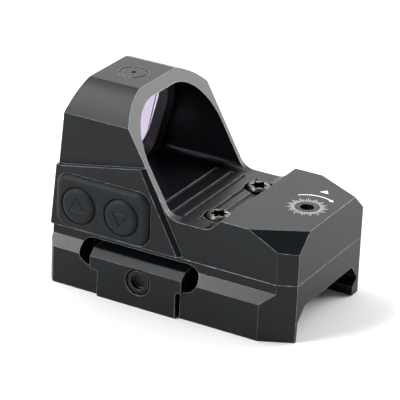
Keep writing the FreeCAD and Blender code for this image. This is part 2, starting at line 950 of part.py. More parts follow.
def battery_cuts():
    """Return the tools for the battery slot and the seat of its door in the right wall."""
    slot = box(
        "battery_slot",
        (D.slot_left, D.far),
        about(D.tray_y, D.tray_half + D.slot_side_gap),
        (D.slot_low, D.slot_high),
    )
    return [slot, door_prism("door_seat", ZERO, (D.door_in, D.far))]


def door_prism(name, shrink, span):
    """Return the battery door's rounded plate, smaller all round by shrink."""
    return prism(
        name,
        "YZ",
        rectangle(
            about(D.tray_y, D.door_half - shrink), (D.door_low + shrink, D.door_high - shrink)
        ),
        span,
        rounds=four(D.door_round, D.door_round),
    )


def gasket_ring(name, span):
    """Return the rectangular ring that seals the emitter bay against the mount."""
    outer = box(
        f"{name}_outer",
        (-D.gasket_out, D.gasket_out),
        (D.gasket_back, D.gasket_front),
        span,
    )
    inside = D.gasket_out - D.gasket_wide
    inner = box(
        f"{name}_inner",
        (-inside, inside),
        (D.gasket_back + D.gasket_wide, D.gasket_front - D.gasket_wide),
        (span[0] - D.over, span[1] + D.over),
    )
    return cut(name, outer, inner)


def make_sight_housing():
    """The sight's body, with every bay and bore cut from its outside shape."""
    badge_line = (ZERO, D.badge_y)
    badge_span = (D.hood_top - D.badge_deep, D.hood_top + D.over)
    housing = cut(
        "sight_body",
        make_shell(),
        *hood_cuts(),
        *deck_cuts(),
        *emitter_cuts(),
        *keypad_cuts(),
        *battery_cuts(),
        gasket_ring("gasket_groove", (D.joint_z - D.over, D.gasket_top)),
        locator_posts("sight_locators", D.locator_r, (ZERO, D.locator_high)),
        ring("badge_ring", "Z", badge_line, (D.badge_in, D.badge_out), badge_span),
        cylinder("badge_dot", "Z", badge_line, D.badge_dot, badge_span),
    )
    publish(housing, "sight_housing")


# ---------------------------------------------------------------- optics and emitter


def make_optics():
    """The lens, the bezel behind it, and the emitter's window pane.

    The lens goes in from the front. Its rear face leans back, and its front face lies just
    inside the hood's.
    """
    rounds = (D.lens_low_r, D.lens_top_r)
    blank = lens_prism("lens_blank", D.lens_half, D.lens_high, rounds, (ZERO, D.far))
    behind_front = [
        (ZERO, D.joint_z),
        (D.half_length - D.lens_inset, D.joint_z),
        (D.hood_front_y - D.lens_inset, D.hood_top),
        (ZERO, D.hood_top),
    ]
    front = prism("lens_front", "YZ", behind_front, (-D.far, D.far))
    publish(common("lens_body", blank, front), "objective_lens")
    half, high = D.pocket_half - D.lens_gap, D.pocket_high - D.lens_gap
    outer_rounds = (D.pocket_low_r, D.pocket_top_r)
    inner_rounds = (D.window_low_r, D.window_top_r)
    span = (-D.bezel_thick, -D.lens_gap)
    outer = lens_prism("bezel_outer", half, high, outer_rounds, span)
    through = (-D.bezel_thick - D.over, D.over)
    inner = lens_prism("bezel_inner", D.window_half, D.window_high, inner_rounds, through)
    publish(cut("bezel_body", outer, inner), "lens_bezel")
    pane = box(
        "pane_body",
        (-D.pane_half, D.pane_half),
        (D.pane_back, D.pane_front),
        (D.pane_low, D.pane_high),
    )
    publish(pane, "emitter_window")


def adjusting_screw(name, axis, centre, wall, face, tip):
    """Return a slotted adjusting screw whose collar bears on the inner side of a wall.

    wall is the wall's inner face, face the wall's outer face and tip the thread's end.
    """
    top = face - D.adjuster_sunk
    head = cylinder(f"{name}_head", axis, centre, D.adjuster_r, (wall - D.over / 2, top))
    collar_span = (wall - D.run_gap - D.collar_thick, wall - D.run_gap)
    collar = cylinder(f"{name}_collar", axis, centre, D.collar_r, collar_span)
    thread = cylinder(f"{name}_thread", axis, centre, D.thread_r, (tip, top))
    floor = top - D.adjuster_slot_deep
    across = about(centre[0], D.collar_r)
    narrow = about(centre[1], D.adjuster_slot / 2)
    deep = (floor, top + D.over)
    spans = (deep, across, narrow) if axis == "X" else (across, narrow, deep)
    slot = box(f"{name}_slot", *spans)
    return cut(name, fuse(f"{name}_blank", head, collar, thread), slot)


def make_adjusters():
    """The elevation and windage screws, the nut on the windage screw, and both springs."""
    turret = (ZERO, D.turret_y)
    screw = adjusting_screw(
        "elevation_body", "Z", turret, D.bay_top, D.block_top, D.thread_end_z
    )
    publish(screw, "elevation_screw")
    line = (D.windage_y, D.windage_z)
    screw = adjusting_screw("windage_body", "X", line, D.bay_half, D.body_half, D.windage_end)
    publish(screw, "windage_screw")
    nut_x = (D.fork_in + D.tab_thick + D.run_gap, D.fork_out - D.tab_thick - D.run_gap)
    nut = box(
        "nut_blank",
        nut_x,
        about(D.windage_y, D.nut_half),
        about(D.windage_z, D.nut_high),
    )
    bore = cylinder("nut_bore", "X", line, D.thread_r + D.run_gap, (ZERO, D.far))
    publish(cut("nut_body", nut, bore), "windage_nut")
    radii = (D.spring_r - D.spring_wire, D.spring_r)
    span = (D.board_high + D.run_gap, D.boss_low - D.run_gap)
    publish(ring("elevation_coil", "Z", turret, radii, span), "elevation_spring")
    radii = (D.side_spring_r - D.spring_wire, D.side_spring_r)
    span = (D.stop_in, D.carrier_left - D.run_gap)
    line = (D.side_spring_y, D.side_spring_z)
    publish(ring("windage_coil", "X", line, radii, span), "windage_spring")


def make_elevation_slide():
    """The slide that the elevation screw lifts: a threaded boss and a cross way in front."""
    ways = (D.slide_floor - D.over / 2, D.ridge_top)
    across = (D.stop_out, D.slide_half)
    slide = fuse(
        "slide_blank",
        box(
            "slide_boss",
            (-D.boss_half, D.boss_half),
            (D.boss_back, D.boss_front),
            (D.boss_low, D.boss_high),
        ),
        box("slide_floor", across, (D.boss_front, D.slide_front), (D.boss_low, D.slide_floor)),
        box("slide_back_ridge", across, (D.boss_front, D.ridge_back), ways),
        box("slide_front_ridge", across, (D.ridge_front, D.slide_front), ways),
        box(
            "slide_stop",
            (D.stop_out, D.stop_in),
            (D.ridge_back, D.ridge_front),
            (D.boss_low, D.stop_high),
        ),
    )
    turret = (ZERO, D.turret_y)
    bore = cylinder("slide_bore", "Z", turret, D.thread_r + D.run_gap, (ZERO, D.far))
    publish(cut("slide_body", slide, bore), "elevation_slide")


def make_emitter():
    """The carrier that slides across on the elevation slide, and the diode on its post."""
    base_y = (D.ridge_back + D.run_gap, D.ridge_front - D.run_gap)
    base_z = (D.slide_floor + D.run_gap, D.ridge_top)
    riser = D.ridge_top - D.tab_thick
    forks = [
        box(f"carrier_fork_{index}", x, (D.fork_back, D.fork_front), (riser, D.fork_high))
        for index, x in enumerate(
            ((D.fork_in, D.fork_in + D.tab_thick), (D.fork_out - D.tab_thick, D.fork_out))
        )
    ]
    carrier = fuse(
        "carrier_blank",
        box("carrier_base", (D.carrier_left, D.carrier_right), base_y, base_z),
        box(
            "carrier_tab",
            (D.carrier_left, D.carrier_left + D.tab_thick),
            (D.tab_back, D.tab_front),
            (riser, D.stop_high - D.run_gap),
        ),
        box(
            "carrier_post",
            (-D.post_half, D.post_half),
            (D.post_back, D.ridge_front - D.run_gap),
            (riser, D.post_high),
        ),
        *forks,
    )
    slot = box(
        "carrier_slot",
        (D.post_half + D.run_gap, D.far),
        about(D.windage_y, D.fork_slot),
        (D.ridge_top + D.run_gap * 4, D.far),
    )
    publish(cut("carrier_body", carrier, slot), "emitter_carrier")
    diode = box(
        "diode_body",
        (-D.led_half, D.led_half),
        (D.ridge_front - D.run_gap, D.led_front),
        (D.led_low, D.led_high),
    )
    publish(diode, "emitter_diode")


# ---------------------------------------------------------------- keypad and boards


def make_keypad():
    """The rubber keypad, its two buttons, and the switches and board behind them."""
    pad = prism(
        "boot_blank",
        "YZ",
        rectangle(
            about(D.pad_y, D.pad_half_y - D.run_gap), about(D.pad_z, D.pad_half_z - D.run_gap)
        ),
        (D.pad_out, D.pad_in),
        rounds=four(D.pad_round, D.pad_round),
    )
    keys = (("up", D.up_y), ("down", D.down_y))
    holes = [
        cylinder(f"{name}_hole", "X", (y, D.button_z), D.button_hole_r, (-D.far, ZERO))
        for name, y in keys
    ]
    publish(cut("boot_body", pad, *holes), "keypad_boot")
    for name, y in keys:
        make_button(name, y)
    board = box(
        "switch_board_body",
        (D.switch_in, D.switch_board_in),
        (D.switch_bay_back + D.slot_side_gap, D.switch_bay_front - D.slot_side_gap),
        (D.switch_bay_low + D.slot_side_gap, D.switch_bay_high - D.slot_side_gap),
    )
    publish(board, "switch_board")
    board = box(
        "main_board_blank",
        (-D.board_half, D.board_half),
        (D.board_back, D.board_front),
        (D.board_low, D.board_high),
    )
    publish(board, "main_board")


def make_button(name, y):
    """Make one button, with its post offset down to the switch it works, and that switch."""
    cap_line = (y, D.button_z)
    post_line = (y, D.plunger_z)
    cap = cylinder(f"{name}_cap", "X", cap_line, D.button_r, (D.button_out, D.button_in))
    post_span = (D.button_in - D.run_gap, D.plunger_tip)
    post = cylinder(f"{name}_post", "X", post_line, D.plunger_r, post_span)
    publish(fuse(f"{name}_button_body", cap, post), f"{name}_button")
    case = box(
        f"{name}_switch_case",
        (D.switch_out, D.switch_in),
        about(y, D.switch_half),
        about(D.plunger_z, D.switch_half),
    )
    knob_span = (D.knob_out, D.switch_out + D.run_gap)
    knob = cylinder(f"{name}_switch_knob", "X", post_line, D.knob_r, knob_span)
    publish(fuse(f"{name}_switch_body", case, knob), f"{name}_switch")


# ---------------------------------------------------------------- battery


def make_battery():
    """The cell, the side-loading tray with its door and seal, and the two contacts."""
    collar_x = (D.seal_out - D.seal_wide * 2, D.door_in + D.run_gap)
    tray_y = about(D.tray_y, D.tray_half)
    body = box("tray_bed", (D.tray_left, D.door_in), tray_y, (D.tray_low, D.tray_high))
    collar = box(
        "tray_collar",
        collar_x,
        tray_y,
        (D.slot_low + D.cell_gap, D.slot_high - D.cell_gap),
    )
    door = door_prism("tray_door", D.door_gap, (D.door_in, D.door_out))
    cell_line = (D.cell_x, D.tray_y)
    cell_seat = cylinder(
        "tray_cell_seat", "Z", cell_line, D.cell_r + D.cell_gap, (D.cell_low, D.far)
    )
    grip = box(
        "tray_grip",
        (D.door_out - D.grip_deep, D.far),
        about(D.tray_y, D.grip_half),
        about((D.door_low + D.door_high) / 2, D.grip_high),
    )
    groove = seal_ring("tray_seal_groove", D.over)
    tray = cut("tray_body", fuse("tray_blank", body, collar, door), cell_seat, grip, groove)
    publish(tray, "battery_tray")
    publish(seal_ring("tray_seal_body", D.cell_gap / 2), "tray_seal")
    cell = cylinder("cell_body", "Z", cell_line, D.cell_r, (D.cell_low, D.cell_high))
    publish(cell, "battery_cell")
    top = box(
        "contact_plate",
        about(D.cell_x, D.contact_half),
        about(D.tray_y, D.contact_half),
        (D.slot_high - D.contact_thick, D.slot_high),
    )
    publish(top, "battery_contact_top")
    side = box(
        "contact_strip",
        (D.slot_left, D.slot_left + D.contact_thick),
        about(D.tray_y, D.contact_half),
        (D.slot_low, D.slot_high),
    )
    publish(side, "battery_contact_side")


def seal_ring(name, grow):
    """Return the square ring round the tray's collar, larger all round by grow."""
    span = (D.seal_out - D.seal_wide, D.seal_out)
    outer = box(
        f"{name}_outer",
        span,
        about(D.tray_y, D.tray_half + grow),
        (D.slot_low + D.cell_gap - grow, D.slot_high - D.cell_gap + grow),
    )
    inner = box(
        f"{name}_inner",
        (span[0] - D.over, span[1] + D.over),
        about(D.tray_y, D.tray_half - D.seal_wide / 2),
        (D.tray_low, D.tray_high),
    )
    return cut(name, outer, inner)


# ---------------------------------------------------------------- fasteners


def make_mounting_screws():
    """The two screws that hold the sight to the mount, with six-pointed sockets."""
    screws = []
    for index, side in enumerate(SIDES):
        line = (D.screw_x * side, D.screw_y)
        shoulder = D.screw_head_top - D.screw_bevel
        head_span = (D.screw_seat_z, shoulder)
        head = cylinder(f"screw_head_{index}", "Z", line, D.screw_head_r, head_span)
        rim_radii = (D.screw_head_r, D.screw_head_r - D.screw_bevel)
        rim = cone(f"screw_rim_{index}", "Z", line, rim_radii, (shoulder, D.screw_head_top))
        shank_span = (D.screw_end_z, D.screw_head_top)
        shank = cylinder(f"screw_shank_{index}", "Z", line, D.screw_r, shank_span)
        points = []
        for turn in (0, 60):
            point = doc.addObject("Part::Prism", f"screw_socket_{index}_{turn}")
            point.Polygon = 3
            bind(point, "Circumradius", D.torx_r)
            bind(point, "Height", D.torx_deep + D.over)
            bind_place(point, *line, D.screw_head_top - D.torx_deep)
            point.Placement.Rotation = FreeCAD.Rotation(FreeCAD.Vector(0, 0, 1), turn)
            points.append(point)
        blank = fuse(f"screw_blank_{index}", head, rim, shank)
        screws.append(cut(f"screw_{index}", blank, *points))
    publish(fuse("screw_pair", *screws), "mounting_screws")


def make_seals_and_pins():
    """The base gasket and the four pins that locate the sight on the mount."""
    publish(gasket_ring("gasket_body", (D.joint_z, D.gasket_top)), "base_gasket")
    span = (D.locator_low, D.locator_high)
    publish(locator_posts("locator_set", D.locator_r, span), "locating_pins")


# ---------------------------------------------------------------- checks and output


def verify():
    """Stop with a message if any feature failed, cut nothing, or left a bad shape."""
    for obj in doc.Objects:
        if "Invalid" in obj.State or "Error" in obj.State:
            raise RuntimeError(f"{obj.Label}: {obj.State}")
        if obj.TypeId == "Part::Cut" and obj.Shape.Volume >= obj.Base.Shape.Volume:
            raise RuntimeError(f"{obj.Label}: cut nothing")
    for part in sub_parts:
        if part.Shape.isNull() or not part.Shape.isValid() or not part.Shape.Solids:
            raise RuntimeError(f"{part.Label}: bad shape")


def write_steps():
    """Write each finished sub-part to its own STEP file."""
    os.makedirs("parts", exist_ok=True)
    for part in sub_parts:
        part.Shape.exportStep(os.path.join("parts", f"{part.Label}.step"))


make_sheet()
make_rail_mount()
make_clamp_jaw()
make_clamp_hardware()
make_sight_housing()
make_optics()
make_adjusters()
make_elevation_slide()
make_emitter()
make_keypad()
make_battery()
make_mounting_screws()
make_seals_and_pins()
doc.recompute()
verify()
write_steps()
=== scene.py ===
"""Looks of a rail-mounted red dot finder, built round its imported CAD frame.

Lengths are in metres in the frame's own axes: +Z up, +Y towards the target, +X to
the user's right, and the origin in the middle of the rail seat. The metal pieces are
the frame's own nodes, given eased edges and a finish. The rubber keypad, the coil
springs and the paint-filled dials are modelled here.
"""

from __future__ import annotations

import logging
import math
from dataclasses import dataclass, field
from enum import Enum

import bmesh
import bpy
from mathutils import Matrix, Vector

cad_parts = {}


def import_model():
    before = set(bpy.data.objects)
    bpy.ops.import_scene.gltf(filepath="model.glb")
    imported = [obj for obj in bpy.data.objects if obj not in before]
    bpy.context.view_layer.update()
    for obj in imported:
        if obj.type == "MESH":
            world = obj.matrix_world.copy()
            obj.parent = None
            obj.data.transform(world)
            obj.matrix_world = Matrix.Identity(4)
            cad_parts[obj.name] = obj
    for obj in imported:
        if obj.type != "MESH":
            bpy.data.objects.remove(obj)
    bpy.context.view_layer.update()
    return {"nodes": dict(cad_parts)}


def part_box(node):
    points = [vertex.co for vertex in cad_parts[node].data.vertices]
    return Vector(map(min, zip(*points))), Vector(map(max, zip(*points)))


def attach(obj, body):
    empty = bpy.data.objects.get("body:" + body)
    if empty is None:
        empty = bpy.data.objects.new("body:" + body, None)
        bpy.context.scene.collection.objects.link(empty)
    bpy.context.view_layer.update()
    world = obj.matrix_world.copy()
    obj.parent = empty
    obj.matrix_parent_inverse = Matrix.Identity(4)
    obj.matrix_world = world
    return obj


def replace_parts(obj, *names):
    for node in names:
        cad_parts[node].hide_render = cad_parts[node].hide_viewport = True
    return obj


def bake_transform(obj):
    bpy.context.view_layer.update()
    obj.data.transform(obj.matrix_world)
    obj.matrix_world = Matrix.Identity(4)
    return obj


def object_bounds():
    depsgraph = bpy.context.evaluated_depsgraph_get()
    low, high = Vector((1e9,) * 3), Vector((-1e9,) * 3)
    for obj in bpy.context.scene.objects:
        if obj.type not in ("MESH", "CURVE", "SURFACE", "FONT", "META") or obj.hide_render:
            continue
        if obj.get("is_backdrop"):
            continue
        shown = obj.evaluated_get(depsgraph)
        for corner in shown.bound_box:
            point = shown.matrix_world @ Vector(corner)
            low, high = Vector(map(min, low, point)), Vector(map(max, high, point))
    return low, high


LOG = logging.getLogger("red_dot_finder")
MM = 0.001
# How near corners are welded, how flat faces are merged, and where shading splits.
WELD_MM = 0.001
MERGE_DEG = 0.4
SPLIT_DEG = 12.0
# Where the elevation screw's axis meets the deck, and the windage screw's (y, z).
ELEVATION_SCREW_MM = (0, -17.95, 13.1)
WINDAGE_SCREW_MM = (-13.75, 10.4)


def srgb(code: str) -> tuple[float, float, float, float]:
    """Turn an sRGB colour into the linear one that shaders take.

    Args:
        code: The colour as "#rrggbb".

    Returns:
        Red, green, blue and an alpha of 1, in linear light.
    """
    parts = [int(code[i : i + 2], 16) / 255 for i in (1, 3, 5)]
    linear = [c / 12.92 if c <= 0.04045 else ((c + 0.055) / 1.055) ** 2.4 for c in parts]
    return (*linear, 1.0)


def add_node(
    tree: bpy.types.NodeTree, kind: str, links: dict | None = None, **settings: object
) -> bpy.types.Node:
    """Add a shader node, with its settings and what feeds its sockets.

    Args:
        tree: The node tree that gets the node.
        kind: The node's type name.
        links: For each input, by name or number, an output socket or a plain value.
        **settings: The node's own properties.

    Returns:
        The new node.
    """
    node = tree.nodes.new(kind)
    for name, value in settings.items():
        setattr(node, name, value)
    for socket, value in (links or {}).items():
        if isinstance(value, bpy.types.NodeSocket):
            tree.links.new(value, node.inputs[socket])
        else:
            node.inputs[socket].default_value = value
    return node


def per_metre(size_mm: float) -> float:
    """Return the texture scale that repeats about once in size_mm."""
    return 1 / (size_mm * MM)


# ------------------------------------------------------------------ finishes


@dataclass(frozen=True)
class Finish:
    """A surface: what the piece is made of and how its skin was made."""

    name: str

    def material(self) -> bpy.types.Material:
        """Return this finish's material, made the first time it is asked for.

        Returns:
            The material, with its nodes in place.
        """
        found = bpy.data.materials.get(self.name)
        if found is not None:
            return found
        material = bpy.data.materials.new(self.name)
        material.use_nodes = True
        tree = material.node_tree
        tree.nodes.clear()
        shader = add_node(tree, "ShaderNodeBsdfPrincipled")
        add_node(tree, "ShaderNodeOutputMaterial", {"Surface": shader.outputs["BSDF"]})
        self.paint(tree, shader)
        return material

    def paint(self, tree: bpy.types.NodeTree, shader: bpy.types.Node) -> None:
        """Fill in the shader. Each finish has its own way.

        Args:
            tree: The material's nodes.
            shader: Its Principled shader.
        """
        raise NotImplementedError

    def dress(self, piece: bpy.types.Object) -> None:
        """Give a piece this finish in place of what it has."""
        piece.data.materials.clear()
        piece.data.materials.append(self.material())


def grain(tree: bpy.types.NodeTree, size_mm: float, detail: float = 2.0) -> bpy.types.NodeSocket:
    """Return a noise over the piece's own space, for grit, cast skin or dust.

    Args:
        tree: The material's nodes.
        size_mm: The size of one speck.
        detail: How many finer octaves it has.

    Returns:
        The noise's value, about 0 to 1.
    """
    place = add_node(tree, "ShaderNodeTexCoord").outputs["Object"]
    links = {"Vector": place, "Scale": per_metre(size_mm), "Detail": detail}
    return add_node(tree, "ShaderNodeTexNoise", links).outputs["Fac"]


def spread(
    tree: bpy.types.NodeTree, value: bpy.types.NodeSocket, low: float, high: float
) -> bpy.types.NodeSocket:
    """Return a noise's middle band stretched from low to high.

    Args:
        tree: The material's nodes.
        value: The noise, whose usual values are 0.3 to 0.7.
        low: The result at 0.3.
        high: The result at 0.7.

    Returns:
        The stretched value.
    """
    links = {"Value": value, "From Min": 0.3, "From Max": 0.7, "To Min": low, "To Max": high}
    return add_node(tree, "ShaderNodeMapRange", links).outputs["Result"]


def blend_colours(
    tree: bpy.types.NodeTree, share: bpy.types.NodeSocket, one: object, other: object
) -> bpy.types.NodeSocket:
    """Return a colour that goes from one to other as share goes from 0 to 1.

    Args:
        tree: The material's nodes.
        share: How much of the second colour.
        one: The first colour, or the socket that gives it.
        other: The second colour.

    Returns:
        The mixed colour.
    """
    links = {0: share, 6: one, 7: other}
    return add_node(tree, "ShaderNodeMix", links, data_type="RGBA").outputs[2]


def near_edge(tree: bpy.types.NodeTree, reach_mm: float, gain: float) -> bpy.types.NodeSocket:
    """Return 1 on the sharp edges of a piece, fading to 0 a short way in.

    Args:
        tree: The material's nodes.
        reach_mm: How far from the edge it reaches.
        gain: How soon it comes to full strength.

    Returns:
        The edge mask.
    """
    soft = add_node(tree, "ShaderNodeBevel", {"Radius": reach_mm * MM}, samples=4)
    true = add_node(tree, "ShaderNodeNewGeometry").outputs["Normal"]
    links = {0: soft.outputs["Normal"], 1: true}
    agree = add_node(tree, "ShaderNodeVectorMath", links, operation="DOT_PRODUCT")
    links = {0: 1.0, 1: agree.outputs["Value"]}
    apart = add_node(tree, "ShaderNodeMath", links, operation="SUBTRACT")
    links = {0: apart.outputs[0], 1: gain}
    return add_node(
        tree, "ShaderNodeMath", links, operation="MULTIPLY", use_clamp=True
    ).outputs[0]


def bumped(
    tree: bpy.types.NodeTree, height: bpy.types.NodeSocket, depth_mm: float
) -> bpy.types.NodeSocket:
    """Return the normal of a skin whose relief is height times depth_mm."""
    links = {"Height": height, "Distance": depth_mm * MM, "Strength": 1.0}
    return add_node(tree, "ShaderNodeBump", links).outputs["Normal"]


@dataclass(frozen=True)
class AnodisedAluminium(Finish):
    """Milled aluminium, bead blasted and then hard anodised in a black dye.

    The blasted skin gives a soft satin sheen with no sharp reflections. The milled edges
    are painted pale grey: partly oxide worn thin there, partly a painted highlight
    where the edges catch the light.
    """

    dye: str = "#0a0d0f"
    dye_pale: str = "#0e1215"
    # Pale edge colour: partly bare metal, partly a painted highlight.
    edge: str = "#c6cbd0"
    rough_low: float = 0.30
    rough_high: float = 0.37
    edge_mm: float = 0.13
    edge_gain: float = 5.0
    chip_mm: float = 0.8
    specular: float = 0.19
    pit_mm: float = 0.3
    pit_deep_mm: float = 0.006
    cloud_mm: float = 7.0
    ior: float = 1.5

    def paint(self, tree: bpy.types.NodeTree, shader: bpy.types.Node) -> None:
        """Lay the dye's slow clouds, the bead pits and the pale edges, partly worn and partly a
        painted highlight.

        Args:
            tree: The material's nodes.
            shader: Its Principled shader.
        """
        clouds = spread(tree, grain(tree, self.cloud_mm), 0.0, 1.0)
        skin = blend_colours(tree, clouds, srgb(self.dye), srgb(self.dye_pale))
        # Bead pits are about 0.05 mm across, drawn at pit_mm so that they show.
        pits = grain(tree, self.pit_mm, detail=3.0)
        # The edge mask paints the edges pale: partly bare metal where the oxide wears thin, partly
        # a painted highlight where edges catch the light.
        worn = near_edge(tree, self.edge_mm, self.edge_gain)
        chips = spread(tree, grain(tree, self.chip_mm), 0.25, 1.0)
        bare_and_highlit_edge = add_node(
            tree, "ShaderNodeMath", {0: worn, 1: chips}, operation="MULTIPLY", use_clamp=True
        ).outputs[0]
        colour = blend_colours(tree, bare_and_highlit_edge, skin, srgb(self.edge))
        tree.links.new(colour, shader.inputs["Base Color"])
        tree.links.new(
            spread(tree, pits, self.rough_low, self.rough_high), shader.inputs["Roughness"]
        )
        tree.links.new(bumped(tree, pits, self.pit_deep_mm), shader.inputs["Normal"])
        shader.inputs["IOR"].default_value = self.ior
        shader.inputs["Specular IOR Level"].default_value = self.specular


@dataclass(frozen=True)
class MouldedRubber(Finish):
    """Silicone rubber, compression moulded in a lightly etched tool.

    It is matt and slightly bluish, with a soft sheen where it turns away, and a fine
    dust of pale specks.
    """

    pigment: str = "#0b0f12"
    dust: str = "#14191c"
    dust_mm: float = 1.6
    roughness: float = 0.58
    etch_mm: float = 0.25
    etch_deep_mm: float = 0.006
    ior: float = 1.43
    specular: float = 0.25
    sheen: float = 0.04
    sheen_rough: float = 0.4

    def paint(self, tree: bpy.types.NodeTree, shader: bpy.types.Node) -> None:
        """Lay the pigment, the dust and the tool's etch.

        Args:
            tree: The material's nodes.
            shader: Its Principled shader.
        """
        dust = spread(tree, grain(tree, self.dust_mm, detail=5.0), -0.6, 0.7)
        colour = blend_colours(tree, dust, srgb(self.pigment), srgb(self.dust))
        tree.links.new(colour, shader.inputs["Base Color"])
        # The etch is about 0.03 mm across, drawn at etch_mm so that it shows.
        etch = grain(tree, self.etch_mm, detail=3.0)
        rough = spread(tree, etch, self.roughness - 0.06, self.roughness + 0.08)
        tree.links.new(rough, shader.inputs["Roughness"])
        tree.links.new(bumped(tree, etch, self.etch_deep_mm), shader.inputs["Normal"])
        shader.inputs["IOR"].default_value = self.ior
        shader.inputs["Specular IOR Level"].default_value = self.specular
        shader.inputs["Sheen Weight"].default_value = self.sheen
        shader.inputs["Sheen Roughness"].default_value = self.sheen_rough


@dataclass(frozen=True)
class MouldedPolymer(Finish):
    """Glass-filled nylon, injection moulded: a dull skin with faint flow marks."""

    pigment: str = "#17181a"
    flow: str = "#222426"
    flow_mm: float = 3.0
    roughness: float = 0.5
    skin_mm: float = 0.2
    skin_deep_mm: float = 0.004
    ior: float = 1.53

    def paint(self, tree: bpy.types.NodeTree, shader: bpy.types.Node) -> None:
        """Lay the pigment, the flow marks and the fine skin.

        Args:
            tree: The material's nodes.
            shader: Its Principled shader.
        """
        flow = spread(tree, grain(tree, self.flow_mm, detail=4.0), 0.0, 1.0)
        colour = blend_colours(tree, flow, srgb(self.pigment), srgb(self.flow))
        tree.links.new(colour, shader.inputs["Base Color"])
        skin = grain(tree, self.skin_mm, detail=3.0)
        rough = spread(tree, skin, self.roughness - 0.06, self.roughness + 0.08)
        tree.links.new(rough, shader.inputs["Roughness"])
        tree.links.new(bumped(tree, skin, self.skin_deep_mm), shader.inputs["Normal"])
        shader.inputs["IOR"].default_value = self.ior


class Skin(Enum):
    """How a steel or brass piece was finished: two tones, worn edge, roughness."""

    BURNISHED = ("#5f5b55", "#3f3c38", "#cfcabf", 0.27)
    BLACK_OXIDE = ("#242424", "#34302c", "#8f8a84", 0.34)
    DRAWN = ("#a8a8a6", "#7c7c7a", "#e0e0de", 0.22)
    NICKEL = ("#b9b8b2", "#9c9b96", "#eeede8", 0.18)
    TINNED = ("#b4b5b6", "#8f9091", "#e6e6e6", 0.3)
    BRASS = ("#b08d4f", "#8e6f3a", "#e3c98b", 0.26)


@dataclass(frozen=True)
class MachinedMetal(Finish):
    """Steel or brass, turned or drawn, then burnished, plated or blacked.

    The tool leaves fine streaks that stretch the highlights, and corners rub bright.
    """

    skin: Skin = Skin.BURNISHED
    patch_mm: float = 1.3
    edge_mm: float = 0.1
    edge_gain: float = 6.0
    streak_mm: float = 0.18
    streak_deep_mm: float = 0.005

    def paint(self, tree: bpy.types.NodeTree, shader: bpy.types.Node) -> None:
        """Lay the two tones, the tool's streaks and the rubbed corners.

        Args:
            tree: The material's nodes.
            shader: Its Principled shader.
        """
        main, shade, edge, rough = self.skin.value
        patches = spread(tree, grain(tree, self.patch_mm, detail=4.0), 0.0, 1.0)
        tone = blend_colours(tree, patches, srgb(main), srgb(shade))
        rubbed = near_edge(tree, self.edge_mm, self.edge_gain)
        colour = blend_colours(tree, rubbed, tone, srgb(edge))
        tree.links.new(colour, shader.inputs["Base Color"])
        # Tool marks are about 0.05 mm apart, drawn at streak_mm so that they show.
        streaks = grain(tree, self.streak_mm, detail=2.0)
        tree.links.new(spread(tree, streaks, rough - 0.06, rough + 0.1), shader.inputs["Roughness"])
        tree.links.new(bumped(tree, streaks, self.streak_deep_mm), shader.inputs["Normal"])
        shader.inputs["Metallic"].default_value = 1.0


@dataclass(frozen=True)
class CoatedGlass(Finish):
    """Optical glass, ground and polished, with a coating evaporated onto it.

    It is clear, and the coating holds back one colour, so what shows through is tinted.
    """

    tint: str = "#bfb2c9"
    wiped: str = "#f4f0f8"
    haze_mm: float = 2.5
    ior: float = 1.52

    def paint(self, tree: bpy.types.NodeTree, shader: bpy.types.Node) -> None:
        """Lay the coating's tint and a trace of wiping haze.

        Args:
            tree: The material's nodes.
            shader: Its Principled shader.
        """
        haze = grain(tree, self.haze_mm, detail=3.0)
        traces = spread(tree, haze, 0.0, 0.06)
        colour = blend_colours(tree, traces, srgb(self.tint), srgb(self.wiped))
        tree.links.new(colour, shader.inputs["Base Color"])
        tree.links.new(spread(tree, haze, 0.0, 0.004), shader.inputs["Roughness"])
        shader.inputs["IOR"].default_value = self.ior
        shader.inputs["Transmission Weight"].default_value = 1.0


@dataclass(frozen=True)
class SolderMask(Finish):
    """Glass-epoxy laminate under a green solder mask, silk-smooth and half glossy."""

    mask: str = "#14452c"
    weave: str = "#1b5637"
    thread_mm: float = 0.5
    thread_deep_mm: float = 0.004
    ior: float = 1.55

    def paint(self, tree: bpy.types.NodeTree, shader: bpy.types.Node) -> None:
        """Lay the mask over the glass cloth and its threads.

        Args:
            tree: The material's nodes.
            shader: Its Principled shader.
        """
        cloth = grain(tree, self.thread_mm, detail=1.0)
        share = spread(tree, cloth, 0.0, 1.0)
        colour = blend_colours(tree, share, srgb(self.mask), srgb(self.weave))
        tree.links.new(colour, shader.inputs["Base Color"])
        tree.links.new(spread(tree, cloth, 0.3, 0.4), shader.inputs["Roughness"])
        tree.links.new(bumped(tree, cloth, self.thread_deep_mm), shader.inputs["Normal"])
        shader.inputs["IOR"].default_value = self.ior


@dataclass(frozen=True)
class CastEpoxy(Finish):
    """Clear epoxy, cast round the diode's die: milky amber and glossy."""

    resin: str = "#c9b48c"
    milk: str = "#efe6d2"
    milk_mm: float = 0.3
    ior: float = 1.55
    clear: float = 0.4

    def paint(self, tree: bpy.types.NodeTree, shader: bpy.types.Node) -> None:
        """Lay the resin and its faint milkiness.

        Args:
            tree: The material's nodes.
            shader: Its Principled shader.
        """
        milk = grain(tree, self.milk_mm)
        share = spread(tree, milk, 0.0, 0.4)
        colour = blend_colours(tree, share, srgb(self.resin), srgb(self.milk))
        tree.links.new(colour, shader.inputs["Base Color"])
        tree.links.new(spread(tree, milk, 0.12, 0.2), shader.inputs["Roughness"])
        shader.inputs["IOR"].default_value = self.ior
        shader.inputs["Transmission Weight"].default_value = self.clear


